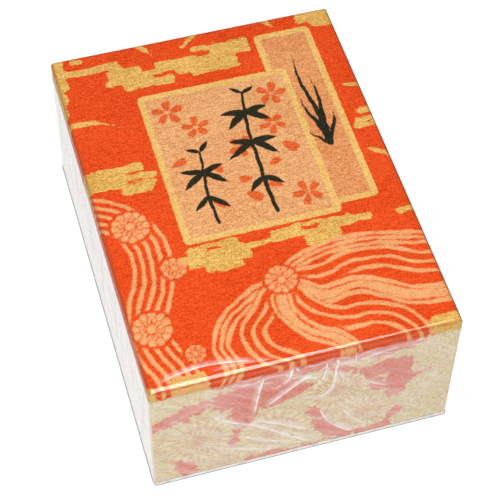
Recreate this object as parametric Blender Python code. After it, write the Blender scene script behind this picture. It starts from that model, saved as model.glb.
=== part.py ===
# Boxed karuta deck in clear shrink film: a rigid paper-covered box with a full-depth lid,
# a cross divider, four banded stacks of cards and a stapled booklet.
# X runs across the box, Y along it, Z up. The foot of the film stands at Z = 0.
import math

import bmesh
import bpy

MM = 0.001

# Cards
CARD_WIDTH = 52.0 * MM
CARD_LENGTH = 75.0 * MM
STACK_OF_CARDS = 55.0 * MM
CARDS_PER_PACKET = 7
PACKETS_PER_STACK = 7
CARD_THICKNESS = STACK_OF_CARDS / (CARDS_PER_PACKET * PACKETS_PER_STACK + 1)
CARD_CORNER = 1.5 * MM
CARD_GAP = 0.1 * MM

# Paper bands round the stacks
BAND_WIDTH = 22.0 * MM
BAND_THICKNESS = 0.2 * MM

# Box walls
BOARD_THICKNESS = 1.3 * MM
WRAP_THICKNESS = 0.2 * MM
LINER_THICKNESS = 0.2 * MM
TURN_IN = 14.0 * MM
STAY_THICKNESS = 0.15 * MM
STAY_LEG = 12.0 * MM
STAY_MARGIN = 2.0 * MM
LID_EDGE_RADIUS = 2.5 * MM
TRAY_EDGE_RADIUS = 1.2 * MM
DIVIDER_THICKNESS = 1.3 * MM
DIVIDER_DROP = 2.0 * MM

# Booklet
BOOKLET_MARGIN = 3.5 * MM
COVER_THICKNESS = 0.25 * MM
PAGES_THICKNESS = 0.5 * MM
PAGES_TRIM = 0.6 * MM
STAPLE_WIRE = 0.4 * MM
STAPLE_CROWN = 12.0 * MM
STAPLE_CLINCH = 4.5 * MM

# Shrink film
FILM_THICKNESS = 0.15 * MM
FILM_GAP = 0.2 * MM
FILM_SEAM_HEIGHT = 5.0 * MM
FILM_SEAM_GAP = 0.3 * MM

# Clearances
PAPER_GAP = 0.15 * MM
STACK_CLEARANCE = 0.4 * MM
LID_CLEARANCE = 0.4 * MM
LID_REVEAL = 0.6 * MM

# Roundness of the meshes
SHARP = 0.2 * MM
CORNER_STEPS = 3
EDGE_STEPS = 3
FOLD_STEPS = 6

# Layers of a wall, from the wrap inwards
STAY_SPACE = STAY_THICKNESS + 2 * PAPER_GAP
BOARD_DEPTH = WRAP_THICKNESS + STAY_SPACE
LINER_DEPTH = BOARD_DEPTH + BOARD_THICKNESS + PAPER_GAP
HEM_DEPTH = LINER_DEPTH + WRAP_THICKNESS
FLOOR = LINER_DEPTH + LINER_THICKNESS
WALL = max(HEM_DEPTH, FLOOR)

# Plan sizes
BAND_LAYER = BAND_THICKNESS + PAPER_GAP
STACK_WIDTH = CARD_WIDTH + 2 * BAND_LAYER
TRAY_HALF_X = STACK_WIDTH + 1.5 * STACK_CLEARANCE + WALL
TRAY_HALF_Y = CARD_LENGTH + DIVIDER_THICKNESS / 2 + 2 * STACK_CLEARANCE + WALL
LID_HALF_X = TRAY_HALF_X + LID_CLEARANCE + WALL
LID_HALF_Y = TRAY_HALF_Y + LID_CLEARANCE + WALL
FILM_OFFSET = FILM_GAP + FILM_THICKNESS
STACK_X = (STACK_WIDTH + STACK_CLEARANCE) / 2
STACK_Y = (CARD_LENGTH + DIVIDER_THICKNESS) / 2 + STACK_CLEARANCE

# Heights
TRAY_FOOT = FILM_OFFSET
STACK_FOOT = TRAY_FOOT + FLOOR + PAPER_GAP
PACKET_HEIGHT = CARDS_PER_PACKET * CARD_THICKNESS
CARDS_HEIGHT = PACKETS_PER_STACK * (PACKET_HEIGHT + CARD_GAP) + CARD_THICKNESS
STACK_HEIGHT = CARDS_HEIGHT + 2 * BAND_LAYER
COVER_RADIUS = COVER_THICKNESS + PAGES_THICKNESS + 2 * PAPER_GAP + STAPLE_WIRE / 2
BOOKLET_MIDDLE = STACK_FOOT + STACK_HEIGHT + PAPER_GAP + COVER_RADIUS
CEILING = BOOKLET_MIDDLE + COVER_RADIUS + PAPER_GAP
TRAY_HEIGHT = CEILING - PAPER_GAP - TRAY_FOOT
LID_FOOT = TRAY_FOOT + LID_REVEAL
LID_HEIGHT = CEILING + FLOOR - LID_FOOT
FILM_HEIGHT = LID_FOOT + LID_HEIGHT + FILM_OFFSET


def clear_scene():
    for item in list(bpy.data.objects):
        bpy.data.objects.remove(item)


def material(name, colour, roughness, metallic=0.0, alpha=1.0):
    made = bpy.data.materials.new(name)
    made.use_nodes = True
    shader = made.node_tree.nodes["Principled BSDF"]
    shader.inputs["Base Color"].default_value = (*colour, 1.0)
    shader.inputs["Roughness"].default_value = roughness
    shader.inputs["Metallic"].default_value = metallic
    shader.inputs["Alpha"].default_value = alpha
    made.diffuse_color = (*colour, alpha)
    return made


def frame(name, location):
    """Empty at the seat of one group of pieces that move together."""
    empty = bpy.data.objects.new(name, None)
    empty.location = location
    bpy.context.scene.collection.objects.link(empty)
    return empty


def piece(name, mesh, colour, parent, location=(0.0, 0.0, 0.0)):
    """Object for one physical piece, standing on its group's frame."""
    bmesh.ops.recalc_face_normals(mesh, faces=mesh.faces)
    data = bpy.data.meshes.new(name)
    mesh.to_mesh(data)
    mesh.free()
    data.materials.append(colour)
    made = bpy.data.objects.new(name, data)
    bpy.context.scene.collection.objects.link(made)
    made.parent = parent
    made.location = location
    return made


def skin(rings):
    """Closed surface through the rings in order, with the first and the last one filled."""
    mesh = bmesh.new()
    loops = [[mesh.verts.new(point) for point in points] for points in rings]
    for first, second in zip(loops, loops[1:]):
        for index in range(len(first)):
            after = (index + 1) % len(first)
            mesh.faces.new((first[index], first[after], second[after], second[index]))
    mesh.faces.new(loops[0])
    mesh.faces.new(loops[-1])
    return mesh


def prism(outline, low, high, along_y=False):
    """Flat outline carried along Z, or along Y for an outline drawn in X and Z."""
    rings = []
    for level in (low, high):
        rings.append([(u, level, v) if along_y else (u, v, level) for u, v in outline])
    return skin(rings)


def ring(half_x, half_y, radius, z):
    """Rectangle with round corners at height z."""
    points = []
    for quarter, (side_x, side_y) in enumerate(((1, 1), (-1, 1), (-1, -1), (1, -1))):
        for step in range(CORNER_STEPS + 1):
            angle = (quarter + step / CORNER_STEPS) * math.pi / 2
            x = side_x * (half_x - radius) + radius * math.cos(angle)
            y = side_y * (half_y - radius) + radius * math.sin(angle)
            points.append((x, y, z))
    return points


def edge_rings(half_x, half_y, radius, edge, closed_z, way):
    """Rings from the flat closed end over its rounded edge to the wall; way is 1 for a closed top."""
    rings = []
    for step in range(EDGE_STEPS + 1):
        angle = step / EDGE_STEPS * math.pi / 2
        inset = edge * (1 - math.sin(angle))
        drop = edge * (1 - math.cos(angle))
        corner = max(radius - inset, SHARP)
        rings.append(ring(half_x - inset, half_y - inset, corner, closed_z - way * drop))
    return rings


def shell_rings(half_x, half_y, radius, edge, thickness, closed_z, open_z):
    """Open box of even thickness: outer skin to the open end, then the inner skin back."""
    way = 1 if closed_z > open_z else -1
    in_x = half_x - thickness
    in_y = half_y - thickness
    in_radius = max(radius - thickness, SHARP)
    in_edge = max(edge - thickness, SHARP)
    outer = edge_rings(half_x, half_y, radius, edge, closed_z, way)
    inner = edge_rings(in_x, in_y, in_radius, in_edge, closed_z - way * thickness, way)
    rim = [ring(half_x, half_y, radius, open_z), ring(in_x, in_y, in_radius, open_z)]
    return outer + rim + inner[::-1]


def wrap_rings(half_x, half_y, radius, closed_z, open_z):
    """Covering paper: over the closed end, down the wall, round the rim and up the inside as a hem."""
    way = 1 if closed_z > open_z else -1
    back = WRAP_THICKNESS
    near = HEM_DEPTH - WRAP_THICKNESS
    far = HEM_DEPTH
    hem = open_z + way * TURN_IN
    sole = open_z + way * WRAP_THICKNESS

    def inset_ring(depth, z):
        return ring(half_x - depth, half_y - depth, max(radius - depth, SHARP), z)

    outer = edge_rings(half_x, half_y, radius, radius, closed_z, way)
    back_radius = max(radius - back, SHARP)
    inner = edge_rings(half_x - back, half_y - back, back_radius, back_radius, closed_z - way * back, way)
    fold = [inset_ring(0.0, open_z), inset_ring(far, open_z), inset_ring(far, hem)]
    fold += [inset_ring(near, hem), inset_ring(near, sole), inset_ring(back, sole)]
    return outer + fold + inner[::-1]


def stay_outline(half_x, half_y, radius, side_x, side_y):
    """Paper tape bent round one upright corner, seen from above."""
    outline = []
    for depth, steps in ((0.0, range(CORNER_STEPS + 1)), (STAY_THICKNESS, range(CORNER_STEPS, -1, -1))):
        turn = max(radius - depth, SHARP / 2)
        far_x = half_x - depth
        far_y = half_y - depth
        path = [(far_x, half_y - STAY_LEG)] if depth == 0.0 else [(half_x - STAY_LEG, far_y)]
        for step in steps:
            angle = step / CORNER_STEPS * math.pi / 2
            path.append((far_x - turn + turn * math.cos(angle), far_y - turn + turn * math.sin(angle)))
        path.append((half_x - STAY_LEG, far_y) if depth == 0.0 else (far_x, half_y - STAY_LEG))
        outline += path
    return [(side_x * x, side_y * y) for x, y in outline]


def rigid_box(prefix, half_x, half_y, radius, closed_z, open_z, papers, parent):
    """One half of the box: covering paper, board, lining paper and four corner stays."""
    way = 1 if closed_z > open_z else -1

    def layer(name, depth, thickness, rim, colour):
        corner = max(radius - depth, SHARP)
        rings = shell_rings(half_x - depth, half_y - depth, corner, corner, thickness,
                            closed_z - way * depth, open_z + way * rim)
        piece(name, skin(rings), colour, parent)

    piece(prefix + "_wrap", skin(wrap_rings(half_x, half_y, radius, closed_z, open_z)), papers["wrap"], parent)
    layer(prefix + "_board", BOARD_DEPTH, BOARD_THICKNESS, WRAP_THICKNESS + PAPER_GAP, papers["board"])
    layer(prefix + "_liner", LINER_DEPTH, LINER_THICKNESS, TURN_IN + PAPER_GAP, papers["liner"])
    depth = WRAP_THICKNESS + PAPER_GAP
    ends = (open_z + way * STAY_MARGIN, closed_z - way * (radius + STAY_MARGIN))
    for side_y, end in ((-1, "front"), (1, "back")):
        for side_x, side in ((-1, "left"), (1, "right")):
            outline = stay_outline(half_x - depth, half_y - depth, max(radius - depth, SHARP), side_x, side_y)
            name = prefix + "_stay_" + end + "_" + side
            piece(name, prism(outline, min(ends), max(ends)), papers["stay"], parent)


def hoop(half_x, half_z, thickness, width):
    """Closed strip of paper round a stack, centred on it."""
    mesh = bmesh.new()
    loops = []
    for grow, y in ((0.0, -width / 2), (thickness, -width / 2), (thickness, width / 2), (0.0, width / 2)):
        corners = ((1, 1), (-1, 1), (-1, -1), (1, -1))
        loops.append([mesh.verts.new((a * (half_x + grow), y, b * (half_z + grow))) for a, b in corners])
    for number in range(4):
        first = loops[number]
        second = loops[(number + 1) % 4]
        for index in range(4):
            after = (index + 1) % 4
            mesh.faces.new((first[index], first[after], second[after], second[index]))
    return mesh


def card_stack(name, x, y, papers):
    """Packets of cards with a single card on top, held by a paper band."""
    seat = frame(name + "_frame", (x, y, STACK_FOOT))
    band = hoop(CARD_WIDTH / 2 + PAPER_GAP, CARDS_HEIGHT / 2 + PAPER_GAP, BAND_THICKNESS, BAND_WIDTH)
    piece(name + "_band", band, papers["band"], seat, (0.0, 0.0, STACK_HEIGHT / 2))
    half_x = CARD_WIDTH / 2
    half_y = CARD_LENGTH / 2
    level = BAND_LAYER
    for number in range(PACKETS_PER_STACK):
        rings = [ring(half_x, half_y, CARD_CORNER, z) for z in (0.0, PACKET_HEIGHT)]
        label = name + "_packet_" + str(number + 1)
        piece(label, skin(rings), papers["cards"], seat, (0.0, 0.0, level))
        level += PACKET_HEIGHT + CARD_GAP
    rings = [ring(half_x, half_y, CARD_CORNER, z) for z in (0.0, CARD_THICKNESS)]
    piece(name + "_top_card", skin(rings), papers["cards"], seat, (0.0, 0.0, level))


def fold_outline(spine, radius, thickness, edge):
    """Folded sheet seen from its end: lower leaf, round spine at the left, upper leaf."""
    outline = []
    for turn, steps in ((radius, range(FOLD_STEPS + 1)), (radius - thickness, range(FOLD_STEPS, -1, -1))):
        arc = []
        for step in steps:
            angle = -math.pi / 2 - step / FOLD_STEPS * math.pi
            arc.append((spine + radius + turn * math.cos(angle), turn * math.sin(angle)))
        first = (edge, arc[0][1])
        last = (edge, arc[-1][1])
        outline += [first] + arc + [last]
    return outline


def staple_outline(reach):
    """Wire staple seen from above: crown at the left, two legs, two clinched ends."""
    half = STAPLE_CROWN / 2
    wire = STAPLE_WIRE
    side = [(0.0, -half), (reach, -half), (reach, STAPLE_CLINCH - half), (reach - wire, STAPLE_CLINCH - half),
            (reach - wire, wire - half), (wire, wire - half)]
    return side + [(x, -y) for x, y in reversed(side)]


def booklet(papers):
    """Cover, folded pages and two staples through the spine."""
    seat = frame("booklet_frame", (0.0, 0.0, BOOKLET_MIDDLE))
    half_x = TRAY_HALF_X - WALL - BOOKLET_MARGIN
    half_y = TRAY_HALF_Y - WALL - BOOKLET_MARGIN
    inner = COVER_THICKNESS + PAPER_GAP
    slit = PAPER_GAP + STAPLE_WIRE / 2
    cover_outline = fold_outline(-half_x, COVER_RADIUS, COVER_THICKNESS, half_x)
    pages_outline = fold_outline(inner - half_x, COVER_RADIUS - inner, PAGES_THICKNESS, half_x - PAGES_TRIM)
    cover = piece("booklet_cover", prism(cover_outline, -half_y, half_y, True), papers["cover"], seat)
    pages_end = half_y - PAGES_TRIM
    pages = piece("booklet_pages", prism(pages_outline, -pages_end, pages_end, True), papers["pages"], seat)
    crown_x = -half_x - PAPER_GAP - STAPLE_WIRE
    reach = 2 * STAPLE_WIRE + PAPER_GAP + inner + PAGES_THICKNESS + slit
    slots = bmesh.new()
    for middle_y, label in ((-half_y / 2, "front"), (half_y / 2, "back")):
        wire = prism(staple_outline(reach), -STAPLE_WIRE / 2, STAPLE_WIRE / 2)
        piece("booklet_staple_" + label, wire, papers["staple"], seat, (crown_x, middle_y, 0.0))
        for side in (-1, 1):
            leg_y = middle_y + side * (STAPLE_CROWN - STAPLE_WIRE) / 2
            cut = bmesh.ops.create_cube(slots, size=1.0)["verts"]
            size = (2 * reach, STAPLE_WIRE + 2 * PAPER_GAP, STAPLE_WIRE + 1.5 * PAPER_GAP)
            bmesh.ops.scale(slots, vec=size, verts=cut)
            bmesh.ops.translate(slots, vec=(-half_x, leg_y, 0.0), verts=cut)
    cutter = piece("staple_slots", slots, papers["pages"], seat)
    for sheet in (cover, pages):
        cut = sheet.modifiers.new("staple_slots", "BOOLEAN")
        cut.operation = "DIFFERENCE"
        cut.solver = "EXACT"
        cut.object = cutter
        bpy.context.view_layer.objects.active = sheet
        bpy.ops.object.modifier_apply(modifier=cut.name)
    bpy.data.objects.remove(cutter)


def film(papers):
    """Clear film in two parts that meet along the seal near the foot."""
    half_x = LID_HALF_X + FILM_OFFSET
    half_y = LID_HALF_Y + FILM_OFFSET
    radius = LID_EDGE_RADIUS + FILM_OFFSET
    base = frame("film_base_frame", (0.0, 0.0, 0.0))
    foot_edge = LID_REVEAL + FILM_THICKNESS
    lower = shell_rings(half_x, half_y, radius, foot_edge, FILM_THICKNESS, 0.0, FILM_SEAM_HEIGHT)
    piece("film_lower", skin(lower), papers["film"], base)
    start = FILM_SEAM_HEIGHT + FILM_SEAM_GAP
    cover = frame("film_cover_frame", (0.0, 0.0, start))
    upper = shell_rings(half_x, half_y, radius, radius, FILM_THICKNESS, FILM_HEIGHT - start, 0.0)
    piece("film_upper", skin(upper), papers["film"], cover)


def build():
    clear_scene()
    papers = {
        "wrap": material("printed_paper", (0.82, 0.09, 0.02), 0.6),
        "tray_wrap": material("red_paper", (0.55, 0.05, 0.03), 0.65),
        "board": material("grey_board", (0.42, 0.38, 0.33), 0.9),
        "liner": material("lining_paper", (0.86, 0.83, 0.76), 0.8),
        "stay": material("corner_tape", (0.62, 0.50, 0.34), 0.85),
        "cards": material("card_board", (0.20, 0.26, 0.12), 0.7),
        "band": material("band_paper", (0.88, 0.85, 0.78), 0.75),
        "cover": material("booklet_cover_paper", (0.80, 0.62, 0.36), 0.6),
        "pages": material("booklet_page_paper", (0.90, 0.88, 0.82), 0.8),
        "staple": material("staple_wire", (0.62, 0.63, 0.65), 0.3, metallic=1.0),
        "film": material("shrink_film", (0.95, 0.95, 0.97), 0.08, alpha=0.25),
    }
    tray_papers = dict(papers, wrap=papers["tray_wrap"])
    tray = frame("tray_frame", (0.0, 0.0, TRAY_FOOT))
    rigid_box("tray", TRAY_HALF_X, TRAY_HALF_Y, TRAY_EDGE_RADIUS, 0.0, TRAY_HEIGHT, tray_papers, tray)
    half_x = TRAY_HALF_X - WALL - PAPER_GAP
    half_y = DIVIDER_THICKNESS / 2
    plan = [(-half_x, -half_y), (half_x, -half_y), (half_x, half_y), (-half_x, half_y)]
    foot = FLOOR + PAPER_GAP
    piece("divider", prism(plan, foot, foot + STACK_HEIGHT - DIVIDER_DROP), papers["board"], tray)
    for kind, y in (("grabbing", -STACK_Y), ("reading", STACK_Y)):
        for side, x in (("left", -STACK_X), ("right", STACK_X)):
            card_stack(kind + "_" + side, x, y, papers)
    booklet(papers)
    lid = frame("lid_frame", (0.0, 0.0, LID_FOOT))
    rigid_box("lid", LID_HALF_X, LID_HALF_Y, LID_EDGE_RADIUS, LID_HEIGHT, 0.0, papers, lid)
    film(papers)


build()
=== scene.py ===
import math

import bpy
import numpy as np
from mathutils import Matrix, Vector


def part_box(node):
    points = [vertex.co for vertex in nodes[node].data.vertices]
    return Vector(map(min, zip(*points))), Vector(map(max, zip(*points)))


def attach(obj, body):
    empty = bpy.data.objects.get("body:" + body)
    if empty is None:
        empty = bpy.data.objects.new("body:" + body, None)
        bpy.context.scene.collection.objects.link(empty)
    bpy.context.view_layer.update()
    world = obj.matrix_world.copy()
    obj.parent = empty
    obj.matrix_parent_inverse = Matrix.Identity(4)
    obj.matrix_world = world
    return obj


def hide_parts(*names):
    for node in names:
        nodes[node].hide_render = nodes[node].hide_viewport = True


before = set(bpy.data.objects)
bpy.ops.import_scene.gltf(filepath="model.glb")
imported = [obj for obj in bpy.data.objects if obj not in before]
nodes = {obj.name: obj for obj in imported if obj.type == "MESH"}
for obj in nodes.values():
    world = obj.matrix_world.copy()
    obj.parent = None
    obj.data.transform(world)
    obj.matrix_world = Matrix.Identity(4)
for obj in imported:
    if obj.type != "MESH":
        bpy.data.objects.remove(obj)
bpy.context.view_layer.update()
print("frame loaded,", len(nodes), "nodes")

mm = 0.001
nowhere = 1e9  # farther than any place on a sheet
beyond = 9.0  # printed distances are kept within this, on both sides of zero
tiny = 1e-9  # keeps a way of no length from being divided by
leastRound = 0.2  # inner corners stay at least this round


# low and high corner of a CAD node in mm
def boxOf(name):
    return [np.array(corner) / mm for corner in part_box(name)]


lidLow, lidHigh = boxOf("lid_wrap")
filmLow, filmHigh = boxOf("film_upper")
lidBox = (*(lidHigh - lidLow)[:2] / 2, lidHigh[2])  # half width, half length, top
filmBox = tuple(filmHigh)


# shapes drawn on a flat sheet are distances in mm, below zero inside

# distance to a chain of stretches, the side of the nearest one, the way along the chain and its whole length
def toChain(p, chain):
    chain = np.array(chain, float)
    best = np.full(len(p), nowhere)
    side = np.ones(len(p))
    run = np.zeros(len(p))
    start = 0.0
    for a, b in zip(chain, chain[1:]):
        along = b - a
        length = np.hypot(*along)
        share = np.clip(((p - a) @ along) / length ** 2, 0, 1)
        away = p - a - share[:, None] * along
        far = np.hypot(*away.T)
        near = far < best
        best = np.where(near, far, best)
        side = np.where(near, np.sign(along[0] * away[:, 1] - along[1] * away[:, 0]), side)
        run = np.where(near, start + share * length, run)
        start += length
    return best, side, run, start


# smooth curve through points, as Catmull-Rom stretches cut into equal steps
def smoothCurve(points, steps=14):
    points = np.array(points, float)
    padded = np.vstack([2 * points[0] - points[1], points, 2 * points[-1] - points[-2]])
    t = np.linspace(0, 1, steps, endpoint=False)[:, None]
    parts = []
    for i in range(1, len(padded) - 2):
        a, b, c, d = padded[i - 1:i + 3]
        square = (2 * a - 5 * b + 4 * c - d) * t ** 2
        cube = (3 * b - a - 3 * c + d) * t ** 3
        parts.append(0.5 * (2 * b + (c - a) * t + square + cube))
    return np.vstack(parts + [points[-1:]])


# distance to a rectangle with round corners, given by its sides
def toPanel(p, left, right, low, high, radius):
    middle = np.array([(left + right) / 2, (low + high) / 2])
    half = np.array([(right - left) / 2, (high - low) / 2]) - radius
    out = np.abs(p - middle) - half
    return np.hypot(*np.maximum(out, 0).T) + np.minimum(out.max(1), 0) - radius


# union of two distances with a soft inner corner
def softUnion(a, b, soft):
    share = np.clip(0.5 + 0.5 * (b - a) / soft, 0, 1)
    return b + (a - b) * share - soft * share * (1 - share)


# places as seen from a point, turned back by an angle
def seenFrom(p, centre, turn):
    c, s = math.cos(turn), math.sin(turn)
    return (p - np.array(centre, float)) @ np.array([[c, -s], [s, c]])


# an oval with its long way turned, as a rough distance
def toOval(p, centre, long, short, turn):
    x, y = seenFrom(p, centre, turn).T
    return (np.hypot(x / long, y / short) - 1) * min(long, short)


# a brush stroke: half its width grows along a stretch and runs out to a point
def toStroke(p, a, b, width, belly=0.75):
    a, b = np.array(a, float), np.array(b, float)
    length = np.hypot(*(b - a))
    unit = (b - a) / length
    share = ((p - a) @ unit) / length
    side = np.abs((p - a) @ np.array([-unit[1], unit[0]]))
    over = side - width * np.sin(math.pi * np.clip(share, 0, 1) ** belly)
    past = np.maximum(np.maximum(-share, share - 1), 0) * length
    return np.hypot(np.maximum(over, 0), past) + np.minimum(over, 0) * (past == 0)


# a brush line along a curve: half its width grows from the root and runs out to a point
def toBrush(p, points, width, root=0.12, belly=0.8):
    far, _, run, length = toChain(p, smoothCurve(points))
    return far - width * np.sin(math.pi * np.clip(root + (1 - root) * run / length, 0, 1) ** belly)


# one cherry petal: an ellipse that widens along its own direction, with a notch in its tip
petalShape = {"half": 0.56, "narrow": 0.30, "flare": 0.16, "notch": 0.17, "slope": 0.9, "tip": 0.6,
              "steep": 0.32}


def toPetal(p, centre, turn, size):
    x, y = (seenFrom(p, centre, turn) / size).T
    tip = petalShape["tip"]
    narrow = petalShape["narrow"] + petalShape["flare"] * np.clip(x, -tip, tip)
    rim = np.hypot(x / petalShape["half"], y / narrow) - 1
    notch = petalShape["notch"] - np.abs(y) - petalShape["slope"] * (tip - x)
    return np.maximum(rim * petalShape["steep"], notch) * size


# five petals round a centre
blossomShape = {"petals": 5, "ring": 0.62, "petal": 0.78}


def toBlossom(p, centre, turn, size):
    best = np.full(len(p), nowhere)
    for angle in turn + np.arange(blossomShape["petals"]) * 2 * math.pi / blossomShape["petals"]:
        place = np.array(centre) + blossomShape["ring"] * size * np.array([math.cos(angle), math.sin(angle)])
        best = np.minimum(best, toPetal(p, place, angle, blossomShape["petal"] * size))
    return best


# a chrysanthemum seen from above: scalloped rings of petals (outer, inner, set over by) parted by thin gaps
flowerShape = {"rings": ((1.0, 0.62, 0.0), (0.60, 0.30, 0.5), (0.24, 0.0, 0.0)), "scallop": 0.13, "gap": 0.32}


def toChrysanthemum(p, centre, size, petals, turn=0.0):
    x, y = (p - np.array(centre, float)).T
    r = np.hypot(x, y)
    angle = np.arctan2(y, x) + turn
    best = np.full(len(p), nowhere)
    for outer, inner, shift in flowerShape["rings"]:
        wave = np.cos(petals * angle / 2 + shift * math.pi)
        scallop = flowerShape["scallop"] if inner > 0 else 0.0
        rim = size * outer * (1 - scallop + scallop * np.sqrt(np.abs(wave)))
        ring = np.maximum(r - rim, size * inner - r)
        if inner > 0:
            gap = r * np.abs(np.arcsin(np.clip(wave, -1, 1))) * 2 / petals
            ring = np.maximum(ring, flowerShape["gap"] - gap)
        best = np.minimum(best, ring)
    return best


# how the print sits on the sheet: size, place, how much higher the sides' print stands, how far the hand
# sways on the top and, coarse then fine, on the sides, and how far past the edges the ribbons end
printFit = {"size": (0.985, 0.981), "shift": (-1.15, -0.54), "rise": 1.9, "sway": 0.20,
            "sideSway": (1.5, 0.9), "sideScale": 2.4, "ribbonEnd": 6.0}

# gold mist: bars (left, right, low, high) on the covering sheet, which is the top with its sides folded flat
goldMist = {
    "soft": 1.2,
    "round": 1.7,
    "limit": 2.02,
    "back": [(-56, -31, 72.6, 76.6), (-37.6, -23, 66, 72.2), (-39.6, -24, 63.4, 67), (-32.4, -11, 59.2, 63.9),
             (-31, -20, 62, 67), (-30, -12, 65.4, 68.4), (-17.4, 0.4, 66, 72), (-9.4, 5, 62.6, 68),
             (-1.6, 23.6, 72.6, 76.2), (6, 23.6, 67.8, 73.4), (-4, 16.6, 60.6, 67.6), (-2, 9, 67, 70.6),
             (-36, -30, 70.6, 74)],
    "left": [(-76, -34.6, 17.6, 22.4), (-76, -30, 14.1, 17.4), (-76, -42, 11.2, 18.5), (-50, -31, 11.2, 13.2),
             (-46, -32.6, 7, 12)],
    "front": [(-33.6, -7, -29.8, -26.4), (-29.4, -21.6, -27, -23), (-16.4, -8.6, -27, -23),
              (-24, -14, -25.6, -23), (-30.6, -5.4, -34, -29), (-25, -9, -37.2, -32), (-9, 6, -29.8, -27),
              (3.2, 16.6, -29.8, -23.4), (15, 24, -29.8, -27.2), (14, 24, -25.4, -23.2),
              (22.4, 36.4, -29.6, -23.6), (34, 44, -28.8, -25.4), (15.4, 30.2, -35.2, -29)],
    "right": [(52, 76, 18.4, 21.6), (50.4, 74, 15.4, 18.8), (54, 74, 23.3, 26.6), (52.6, 70, -29.6, -26)],
    "corners": [(50.2, 92, 73, 110), (45.2, 52, 77, 84), (-49, -35.6, -92, -77.4), (48.4, 90, -96, -77.4),
                (-92, -53.2, 66.2, 118), (-92, -55.0, 58.6, 70), (-92, -56.6, 51, 62),
                (-50.6, -45.6, 79, 81.8), (-92, -55, -98, -79)],
}
# loose gold stalks, as curves with their half widths
goldStalks = [
    ([(-66, 46.4), (-57, 47.2), (-50, 47.2), (-44.5, 45), (-37.4, 41)], 1.7),
    ([(53, 4.8), (57, 2.2), (60, -0.4), (66, -4)], 1.25),
    ([(53.6, 40), (57, 38.6), (63, 36.8)], 1.2),
    ([(-4.6, 76.6), (-0.4, 80), (3, 83.4), (4, 90)], 1.15),
    ([(31, 84), (33.6, 80.6), (36.8, 77)], 1.2),
    ([(-23, 86), (-20, 81), (-16.4, 75.8)], 1.9),
]

# chrysanthemums on the sides: place along the side, height over the table, size
sideFlowers = {
    "front": [(-41, 23, 15.5), (-12, 17, 15.5), (12, 35, 14.0), (23, 14, 13.0), (-31, 2, 9.5)],
    "back": [(-41, 22, 15.0), (-9, 34, 14.0), (18, 14, 14.5), (45, 36, 14.0), (-34, 50, 9.5), (48, 6, 10.0)],
    "left": [(-64, 22, 15.0), (-33, 40, 13.5), (-8, 16, 14.5), (24, 36, 14.0), (52, 16, 14.5), (68, 44, 11.0),
             (-36, 8, 10.0)],
    "right": [(-62, 38, 14.0), (-34, 16, 14.5), (-3, 38, 14.0), (28, 18, 14.5), (58, 38, 14.0), (64, 8, 10.0),
              (-66, 8, 10.0)],
}
# red openings in the gold ground of the sides: place along the side, height, half length, half width, turn
sideOpenings = {
    "front": [(-17, 45, 19, 8.5, -0.12), (-24, 36, 5.5, 8.5, 0.2), (-47, 43, 12, 3.8, 0.48),
              (31, 43, 11.5, 5.4, -0.05), (36, 35, 5.4, 9, 0.15), (15, 47, 6.5, 2.6, -0.45),
              (27, 33, 6.5, 2.6, -0.5), (35, 24, 2.8, 4.0, 0.0), (44, 33.5, 4.5, 1.7, 0.0),
              (4.5, 23.6, 6.8, 2.9, -1.0), (11, 7, 12, 3.9, -0.85), (-24, 23, 4.8, 2.2, -0.6),
              (-27, 17, 2.6, 4.8, 0.3), (-46, 9, 4.2, 12, 0.05), (28, 2, 6.2, 4.4, 0.1),
              (36, 9, 4.8, 2.4, 0.9), (-12, 0.2, 22, 1.3, 0.0), (-3, 56, 22, 3.4, 0.02),
              (26, 55, 16, 3.0, 0.0)],
    "back": [(-24, 40, 15, 6.5, 0.2), (6, 16, 4, 11, -0.4), (30, 32, 12, 5.5, -0.3), (-46, 8, 8, 4, 0.2),
             (10, 52, 24, 4.0, 0.0)],
    "left": [(-48, 32, 13, 6, 0.4), (-18, 30, 6, 11, -0.3), (8, 30, 11, 6, 0.5), (40, 28, 6, 12, 0.3),
             (10, 53, 40, 3.5, 0.0), (-50, 53, 20, 3.5, 0.05)],
    "right": [(-48, 27, 12, 6, -0.5), (-18, 28, 6, 12, 0.3), (12, 29, 12, 6, 0.4), (44, 28, 6, 11, -0.3),
              (10, 54, 40, 3.5, 0.0), (-50, 54, 18, 3.0, 0.0)],
}
# the ground starts below the fold and dips towards the middle of a side; scalloped flowers close its openings
sideGround = {"start": 4.4, "dip": 5.0, "dipWidth": (1.25, 2.2), "top": 4.2, "rim": (0.80, 0.12),
              "scallops": 11}

# two paper slips on the top: a narrow one behind and a wide one over it, each with a gold edge
paperSlips = {
    "narrow": (25.6, 49.6, -18.4, 75.2),
    "wide": (-28.8, 33.6, -22.2, 55.0),
    "corner": 2.2,
    "edge": 2.7,
}

# cherry blossoms and loose petals on the wide slip: place, turn, size
blossoms = [(-18.6, 44.0, 0.22, 6.2), (24.2, 43.0, 0.0, 5.8), (-9.6, 33.8, 0.31, 5.4), (23.4, -9.6, 0.6, 6.0),
            (20.2, 27.4, 0.75, 5.2), (5.0, 19.4, 0.95, 5.4)]
petals = [(-20.6, 17.2, 0.4, 5.6), (-6.8, 11.0, 1.9, 5.2), (23.8, 14.6, -0.9, 6.8), (15.6, 8.6, 0.3, 4.8),
          (2.2, 3.0, 3.1, 4.8), (12.6, -2.4, 2.5, 5.2), (3.4, -5.8, -0.75, 6.8), (-10.6, -5.6, -0.7, 5.4)]

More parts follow.
